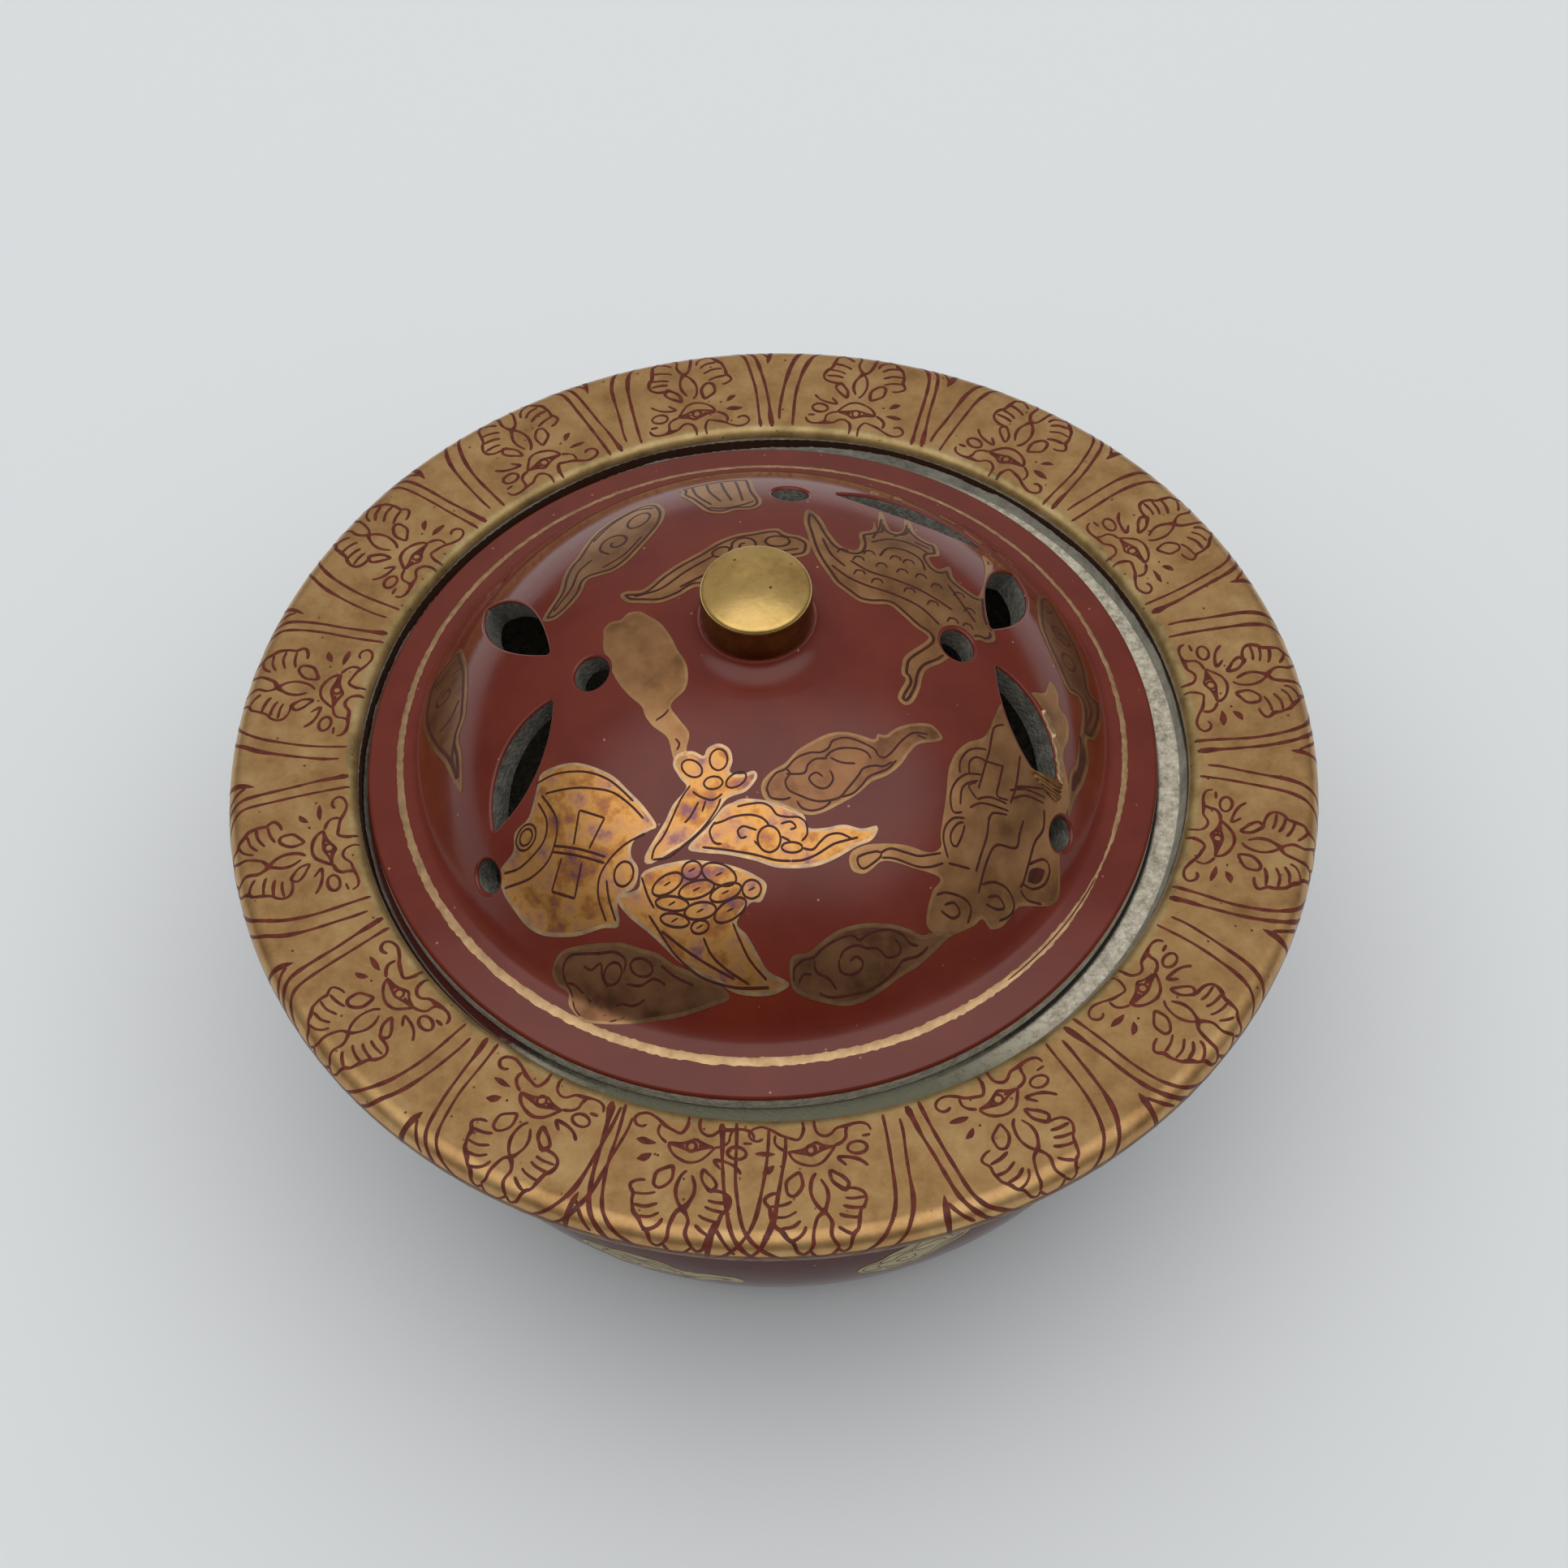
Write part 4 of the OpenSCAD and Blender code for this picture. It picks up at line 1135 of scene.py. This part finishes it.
      [(-8, 5.4), (-5.4, 6.8), (-2.4, 8.6), (1.6, 9.6), (4.6, 10.4)], oval(-3.6, 10.2, 1, 0.7, 30)]),
    (PLAIN, [(-22.7, 6.2), (-22.6, 5.4), (-21.4, 5.1), (-20, 6), (-18.6, 7.8), (-18, 9.6), (-16.6, 9.8),
             (-15.2, 9.9), (-13.6, 11), (-12, 13.2), (-10.8, 15.2), (-10, 17), (-9.7, 19), (-10, 20.6),
             (-10.8, 22), (-12.4, 22.4), (-14.4, 21.4), (-16, 20.2), (-17.6, 18.4), (-18.6, 16.4),
             (-19.4, 14.4), (-20.2, 13.2), (-20.8, 11.4), (-21.2, 9)],
     [spiral(-15, 15, 2, 250, -1.3), [(-21.6, 6.4), (-19.8, 9), (-19, 11.6), (-17.6, 13)],
      oval(-12.6, 18.6, 1.6, 1.1, 60),
      [(-17.6, 16.6), (-15.6, 19.4), (-13, 21.2), (-11, 20.8)], [(-16.4, 11), (-14, 12.4), (-12.2, 15)]]),
    (PLAIN, [(-8, 23.8), (-8, 22.6), (-7, 21), (-6, 19.2), (-5, 17.8), (-3.4, 17.3), (-2, 17.8),
             (-0.2, 17.8), (0.8, 18.8), (0.8, 20.2), (0.2, 22.2), (-0.2, 25), (-0.6, 26), (-4, 26),
             (-8, 25)],
     [[(-6.8, 24.6), (-6.2, 22), (-4.6, 19.4)], [(-5.2, 25), (-4.8, 22.6), (-3.6, 20)],
      [(-3.6, 25.2), (-3.2, 22.8), (-2.4, 20)],
      [(-2, 25.2), (-1.6, 22.6), (-1.2, 19.8)], [(-5, 18.8), (-3.2, 18.4), (-1.4, 18.8), (0, 19.6)]]),
    (RUBBED_SHADED, [(-33, 9.8), (-32.2, 7.6), (-31.6, 5), (-31.4, 2), (-31.4, 0), (-31.5, -1.8), (-32.2, -3.8),
            (-31.8, -6), (-31.7, -8), (-31.8, -10.2), (-33, -7.8), (-34, -5.4), (-35.2, -3.2),
            (-36.4, -0.4), (-37.2, 2.6), (-37.2, 5.6), (-36.6, 8.4), (-35, 9.6)],
     [spiral(-34.4, 3.6, 1.3, 90, 1.2), [(-33.4, 8.4), (-34.6, 7.4), (-36, 7)],
      [(-32.4, 1), (-33.4, -0.6), (-34.8, -1)],
      [(-32.6, 6), (-33.6, 5.8)], [(-32.6, -3.4), (-33, -5.6), (-32.4, -8.4)]]),
    (RUBBED_SHADED, [(31.4, 15), (33, 16.8), (34.8, 12), (35.6, 9.4), (36.2, 6.4), (36.3, 3), (37.4, 2.6), (37.5, 1),
            (37, -1.2), (36, -3.6), (35, -4.4), (35, -7), (34.2, -9.6), (33, -12), (32, -14.4), (32.4, -10),
            (33.4, -8), (34, -5), (34.6, -2), (34.6, 0.4), (33.4, 0.2), (32.6, 1.4), (31.8, 3.6), (31, 6),
            (30.6, 9)],
     [spiral(33.6, 9, 1.5, 90, 1.2), oval(33.8, 5, 1.2, 0.8, 80), [(35.4, 2), (36, 0), (35.2, -2.4)],
      [(32, 12), (33, 13.6)], [(34.2, -4.6), (33.8, -8), (32.8, -11)]]),
    # basket with its woven straps
    (PLAIN, [(8.4, -24.8), (8.6, -24), (9.6, -23.4), (11, -23), (14, -22.7), (16.6, -22.9), (17.8, -22.2),
             (17.8, -21.2), (18.2, -19.2), (18.6, -17.2), (18.8, -15.6), (19.2, -14.2), (20, -12.8),
             (21.2, -11.6), (22.6, -10.8), (23.4, -9.8), (24, -8.4), (25, -6.2), (26.4, -5), (28.8, -3),
             (30.2, -2.2), (31, -0.2), (31.8, -1.2), (31.8, -3), (32.7, -3.8), (32.6, -6), (31.8, -8.4),
             (32.2, -11.2), (32.2, -13), (31.6, -14.4), (30.9, -16), (30.8, -18.4), (30.7, -21.6),
             (29.8, -23), (28, -23.8), (26, -24.6), (25, -25.8), (24, -26.8), (22.8, -27.3), (22, -26.8),
             (21, -27.6), (19.2, -28.6), (17.6, -29.2), (16.2, -28.8), (16.2, -27.6), (16.8, -26),
             (17.6, -24.8), (15, -24.5), (12, -24.3), (10.6, -25.2), (9.8, -25.6), (8.8, -25.5)],
     [[(9.3, -24.3), (11.3, -23.6), (11.6, -24), (9.8, -25.2), (9.3, -24.3)],
      [(11.6, -23.7), (12.6, -23.2), (14, -23.3), (15.4, -23.4), (16.6, -23.1), (17.8, -22.7)],
      [(11.7, -24.1), (13, -24), (15.2, -24.3), (16.6, -24.1), (18, -23.5)],
      [(25.2, -8.4), (24.2, -9), (23.8, -10), (23.4, -11.8), (23, -13), (22, -16)],
      [(23.1, -11.8), (22, -12), (21, -12.6), (20.2, -13.8), (20.1, -15)],
      [(24.8, -12.9), (23.2, -13), (22, -12.9), (21.2, -13.6), (21.1, -14.8)],
      [(22.4, -14.5), (20.8, -14.9), (19.6, -16), (19, -17.4), (19.2, -18.8), (20.2, -18.6)],
      [(22, -15.2), (20.8, -15.8), (20.2, -16.6), (20, -18)],
      [(20.4, -19.1), (19.2, -19.4), (18.3, -20.4), (18.1, -21.6), (18.5, -23)],
      [(20.3, -19.5), (19.6, -19.8), (18.9, -20.8), (18.9, -21.6), (19.4, -21.8), (20, -20.8),
       (20.4, -19.7)],
      [(21.8, -15.4), (21, -15.9), (21.2, -16.4), (21.8, -17)], [(24.8, -12.8), (24.3, -14.6), (24, -16),
                                                                 (25.2, -16)],
      [(26.8, -11), (26.1, -14.4), (25.4, -16.2)], [(26.1, -14.4), (27.6, -13.8), (29.4, -13.2)],
      [(25.4, -15), (27.2, -14.2), (29.4, -14)], [(25.8, -15.6), (27.2, -14.8), (29.2, -14.6)],
      [(21.8, -17), (23.2, -16.4), (25, -16.4)], [(21, -18), (22.4, -17.2), (25.2, -17)],
      [(23, -18.6), (23.4, -17.8), (25, -17.4)], [(23, -18.2), (22.7, -20), (22, -21.8), (21.4, -23.4)],
      [(26.8, -17.2), (26.3, -18.6), (25.8, -20), (23.7, -20.5), (22.6, -22.2), (21.6, -25)],
      [(29.2, -15.2), (29, -17), (28, -18.6), (27.4, -20.2), (26.6, -22.4), (26.2, -23)],
      [(18.5, -23.4), (20.8, -23.3)],
      [(17.2, -26.2), (18.2, -25.8), (20, -25.8), (20.8, -26.4), (20.4, -27.6)],
      [(18, -26.8), (19, -26.4), (19.6, -27), (18.8, -27.6), (17.6, -27.3)],
      [(22, -24.2), (23.4, -23.6), (24.8, -23.7), (25.5, -24.6), (25, -25.6), (23.8, -26.4)],
      [(22.6, -25), (23.8, -24.6), (24.4, -25.2), (23.6, -25.6), (22.4, -25.6)],
      [(26.4, -22.6), (27.6, -22.6), (29, -21.6), (29.6, -20.2), (29, -19.6), (27.2, -20.8)],
      [(29, -20.5, 0.3), (28.2, -21.2, 1.2), (27.5, -21.8, 1), (27.1, -22.2, 0.3)],
      [(26.2, -23.2), (27, -23.7), (28.6, -23.4)]]),
    # crane
    (PLAIN, [(5.7, 17.8), (6.7, 17), (7.4, 15.4), (8, 13.4), (9, 11.4), (10.6, 10.8), (11.2, 12),
             (11.2, 14), (12.6, 15), (12.9, 16.8), (13.2, 15.2), (13.6, 19), (14, 19), (14.4, 16.6),
             (14.8, 15.4), (16, 16), (16.4, 18.8), (17, 18.8), (17.4, 16.2), (18.6, 15), (19.6, 14.8),
             (19.8, 12.8), (18.6, 11.8), (19.4, 10.2), (20.8, 11.2), (21.2, 9.2), (23, 7.8), (23.8, 8),
             (24.6, 11), (25, 13.8), (25, 16.6), (26, 15.8), (26, 14.8), (25.2, 12), (24.8, 9.2), (24.6, 5),
             (25, 3.2), (25, 1.8), (24, 1), (22.8, 0.8), (19.6, -2.6), (18.8, -3.4), (17.4, -4.4),
             (16.8, -5.4), (16.4, -7), (15.6, -8.6), (14.8, -9.1), (14.1, -8.6), (14.2, -7.8), (15, -6.2),
             (14.6, -5.6), (14.7, -4.4), (15.2, -3.2), (17.4, -1), (17.6, -0.2), (16.4, 0.6), (15, 2),
             (13.8, 3), (12, 2.8), (10.6, 3), (9.4, 4), (8.2, 5.2), (7.4, 6.8), (6.6, 8.6), (6, 10.6),
             (5.6, 13), (5.3, 15.4)],
     [[(13.2, 10.4), (14.2, 12), (16, 12.2), (17.6, 11.2), (18, 9.4)],
      [(12.4, 12.6), (14.6, 13.8), (17, 13.6), (18.6, 12.6)],
      [(8, 8), (9.6, 6.4), (11.6, 5.4), (14, 4.8), (17, 3.6), (19, 1.6)],
      [(10, 9), (12, 7.6), (14.4, 7), (17.4, 6), (20.6, 4.2)],
      [(7.2, 12.4), (8, 9.8), (9.4, 8)], [(20.4, 8), (21.6, 5.8), (23, 3.4)],
      [(12.6, 13.4), (13.4, 15.4), (13.8, 17.6)], [(15, 14.4), (16.2, 15.8), (16.6, 17.6)],
      [(17.2, 14.2), (18.8, 13.6)]]
     + [[(x - 0.55, y - 0.35, 0.2), (x - 0.2, y + 0.35, 0.3), (x + 0.45, y + 0.35, 0.3),
         (x + 0.7, y - 0.2, 0.2)]
        for x, y in CRANE_SCALES])]


# Loose touches of gold, and where the outlines start of the motifs that have a line drawn round them
TOUCHES = [oval(13.5, 24.9, 0.42), oval(16.2, 25.2, 0.42), [(20.9, 24.3), (22.6, 23.6)],
           [(23.6, 22.4), (24.6, 21.2), (25.4, 20.9)]]
CONTOURED = [(-14.3, 5.8), (-22.7, 6.2), (-8, 23.8), (-33, 9.8), (31.4, 15), (5.7, 17.8)]
CONTOUR_IN = 0.55                           # how far inside the motif's edge that line runs
BAND_R = 39.8                               # radius of the gold ring round the flange
BAND_STEPS = 540
BAND_RUBBED = 334                           # bearing in degrees at which it is rubbed thinnest
CHIPPED_LEAF = 10                           # number of the smoke hole whose edge is chipped


def contour(outline):
    """The line just inside a motif's edge, in the runs that are left where it doesn't fold over."""
    line = inset([p[:2] for p in smooth(outline + outline[:1], 0.35)], CONTOUR_IN)
    runs = [[]]
    for spot in line + line[:1]:
        last = runs[-1][-1] if runs[-1] else spot
        if hypot(spot[0] - last[0], spot[1] - last[1]) > 1.2:
            runs.append([])
        runs[-1].append(spot)
    return [run for run in runs if len(run) > 3]


def paint_lid():
    """The gold motifs of the lid, the lines on them, and the gold ring round the flange."""
    gold, lines = Shell("lid_gilding"), Shell("lid_painting")
    for number, outline, strokes in MOTIFS:
        gild(gold, outline, number)
        contoured = outline[0] in CONTOURED
        for stroke in (contour(outline) if contoured else []) + strokes:
            draw(lines, stroke, width=BOLD if contoured else FINE)
    worn = random.Random(5)
    ring = []
    for i in range(BAND_STEPS):
        turn = 2 * pi * i / BAND_STEPS
        thin = max(0, 1 - abs(degrees(turn) - BAND_RUBBED) / 12)
        width = (0.75 - 0.25 * sin(turn) - 0.1 * cos(turn)) * (1 - 0.7 * thin) * worn.uniform(0.84, 1.1)
        r = BAND_R + worn.uniform(-0.05, 0.05)
        ring.append((r * cos(turn), r * sin(turn), width))
    brush(gold, ring + ring[:1], on_lid, GILT_RISE, finish_number=6)

    # a thin line of red shows through its middle beside the rubbed place
    split = [(BAND_R * cos(radians(turn)), BAND_R * sin(radians(turn)), 0.16) for turn in range(308, 332)]
    brush(lines, split, on_lid, LINE_RISE, GILT_RISE, finish_number=1)

    # loose touches of gold, and the gilding that stands up along the worn edge of a leaf-shaped hole
    for stroke in TOUCHES:
        brush(gold, smooth([(x, y, 0.26) for x, y in stroke]), on_lid, GILT_RISE)
    leaf = HOLES[CHIPPED_LEAF]
    edge = [leaf.at(a, b, leaf.drop(a, b)) for a, b in leaf.ring(LIP + 0.2)]
    edge = sorted((p.y, p.x) for p in edge if hypot(p.x, p.y) > hypot(leaf.middle.x, leaf.middle.y) + 0.8)
    brush(gold, [(x, y, worn.uniform(0.45, 1.05)) for y, x in edge], on_lid, 0.26, finish_number=6)
    golds = [GILT_EDGE, GILT, LUSTRE_EDGE, LUSTRED, RUBBED_SHADED_EDGE, RUBBED_SHADED_GILT, BAND]
    gold.build(golds, "cover", "gilding", crease=60)
    lines.build([LINE_BROWN, LINE_RED], "cover", "red_glaze", crease=60)


FRONT_CLOUD = 5                             # number of the motif that is repeated on the bowl
CLOUD_MIDDLE = (7, -16.6)                   # the point of it that is placed
# Clouds round the bowl: girth, height, tilt in degrees, scale, and -1 for a mirrored one
BELLY_CLOUDS = [(14, 22, 0, 0.9, 1), (-17, 18.5, -24, 0.95, 1), (50, 31, 8, 1, -1), (88, 21, -6, 0.9, 1),
                (125, 32, 0, 1, 1), (-64, 30, 12, 1, 1), (-104, 21, -8, 0.9, -1), (-140, 32, 5, 0.95, -1)]


def paint_bowl():
    """The same gold clouds round the bowl's belly, drawn large and small, some turned the other way."""
    gold, lines = Shell("bowl_gilding"), Shell("bowl_painting")
    _, outline, strokes = MOTIFS[FRONT_CLOUD]
    for girth, height, tilt, size, sense in BELLY_CLOUDS:
        turn = radians(tilt)

        def place(x, y, lift):
            a, b = (x - CLOUD_MIDDLE[0]) * size, (y - CLOUD_MIDDLE[1]) * size
            u = girth + sense * (a * cos(turn) - b * sin(turn))
            return on_belly(u, height + a * sin(turn) + b * cos(turn), lift)
        gild(gold, outline, 0, place, ())
        for stroke in strokes:
            draw(lines, stroke, place, ())
    gold.build([BOWL_GILT_WITH_TABLE_SHEEN, BOWL_GILT_WITH_TABLE_SHEEN], "burner", "gilding", crease=60)
    lines.build([LINE_BROWN], "burner", "red_glaze", crease=60)


# ---------------------------------------------------------------- stage, light and camera

TABLE_HALF = 6                              # in metres


def make_stage():
    """A plain pale table top that runs to the back of the view."""
    half = TABLE_HALF
    mesh = bpy.data.meshes.new("table_top")
    mesh.from_pydata([(-half, -half, 0), (half, -half, 0), (half, half, 0), (-half, half, 0)], [],
                     [(0, 1, 2, 3)])
    table = bpy.data.objects.new("table_top", mesh)
    bpy.context.scene.collection.objects.link(table)
    material, tree, shader, _ = finish("matt white table", Roughness=0.9)
    shader.inputs["Base Color"].default_value = srgb("#dddfe0")
    mesh.materials.append(material)


WALL_LEVEL = 0.12
# Glow of the studio: how it joins the rest, aim, cosines where it fades in and is full, level
GLOWS = [("ADD", (0, 0, 1), 0, 0.75, 0.3),              # walls, paler with their height
         ("ADD", (0, 0.97, 0.24), 0.75, 1, 0.2),        # pale wall at the back
         ("ADD", (0, -0.97, 0.24), 0.75, 1, -0.12)]     # shaded side near the viewer
# Long lit ceiling above and before the burner
GLOWS += [("MAXIMUM", aim, 0.74, 0.975, 1.4)
          for aim in ((-0.33, -0.26, 0.907), (0, -0.276, 0.961), (0.33, -0.26, 0.907))]
LAMP_SIZE = (1.7, 1.5)                      # in metres
LAMP_PLACE = (0.0, 0.22, 1.05)              # in metres
LAMP_AIM = (0, 0, 0.05)                     # it looks at this point
LAMP_WATTS = 5.1


def make_light():
    """A plain studio: soft walls and ceiling that shiny faces mirror, and one big lamp above them."""
    world = bpy.data.worlds.new("studio")
    world.use_nodes = True
    bpy.context.scene.world = world
    tree = world.node_tree
    look, level = add(tree, "TexCoord").outputs["Generated"], WALL_LEVEL
    for joined, aim, edge, full, gain in GLOWS:
        along = add(tree, "VectorMath", {0: look, 1: aim}, operation="DOT_PRODUCT").outputs["Value"]
        glow = add(tree, "MapRange", {"Value": along, "From Min": edge, "From Max": full, "To Max": gain},
                   interpolation_type="SMOOTHSTEP").outputs["Result"]
        level = add(tree, "Math", {0: level, 1: glow}, operation=joined).outputs["Value"]
    tree.nodes["Background"].inputs["Color"].default_value = srgb("#fbfdfe")
    tree.links.new(level, tree.nodes["Background"].inputs["Strength"])
    lamp = bpy.data.lights.new("softbox", "AREA")
    lamp.shape = "RECTANGLE"
    lamp.size, lamp.size_y = LAMP_SIZE
    lamp.energy = LAMP_WATTS
    softbox = bpy.data.objects.new("softbox", lamp)
    softbox.location = LAMP_PLACE
    aim = Vector(LAMP_AIM) - softbox.location
    softbox.rotation_euler = aim.to_track_quat("-Z", "Y").to_euler()
    softbox.visible_glossy = False
    bpy.context.scene.collection.objects.link(softbox)


def make_camera():
    """The view from the front: above the table, looking down at the lid; in millimetres and radians."""
    back, above = 154.4, 219.7
    yaw, pitch, roll = 0.0075, radians(55.91), -0.0271
    frame_px, focal_px, sensor = 1932, 3000, 36
    lens = bpy.data.cameras.new("camera")
    lens.sensor_width, lens.lens = sensor, focal_px / frame_px * sensor
    camera = bpy.data.objects.new("camera", lens)
    ahead = Vector((sin(yaw) * cos(pitch), cos(yaw) * cos(pitch), -sin(pitch)))
    right = Vector((cos(yaw), -sin(yaw), 0))
    up = right.cross(ahead)
    right, up = right * cos(roll) + up * sin(roll), up * cos(roll) - right * sin(roll)
    camera.matrix_world = (Matrix.Translation(Vector((0, -back, above + RIM_Z)) * MM)
                           @ Matrix((right, up, -ahead)).transposed().to_4x4())
    bpy.context.scene.collection.objects.link(camera)
    bpy.context.scene.camera = camera


make_camera()
make_stage()
make_light()
make_bowl()
make_foot_ring()
make_rim()
make_knob()
make_lid()
paint_rim()
paint_lid()
paint_bowl()
bpy.context.scene.view_settings.view_transform = "Standard"
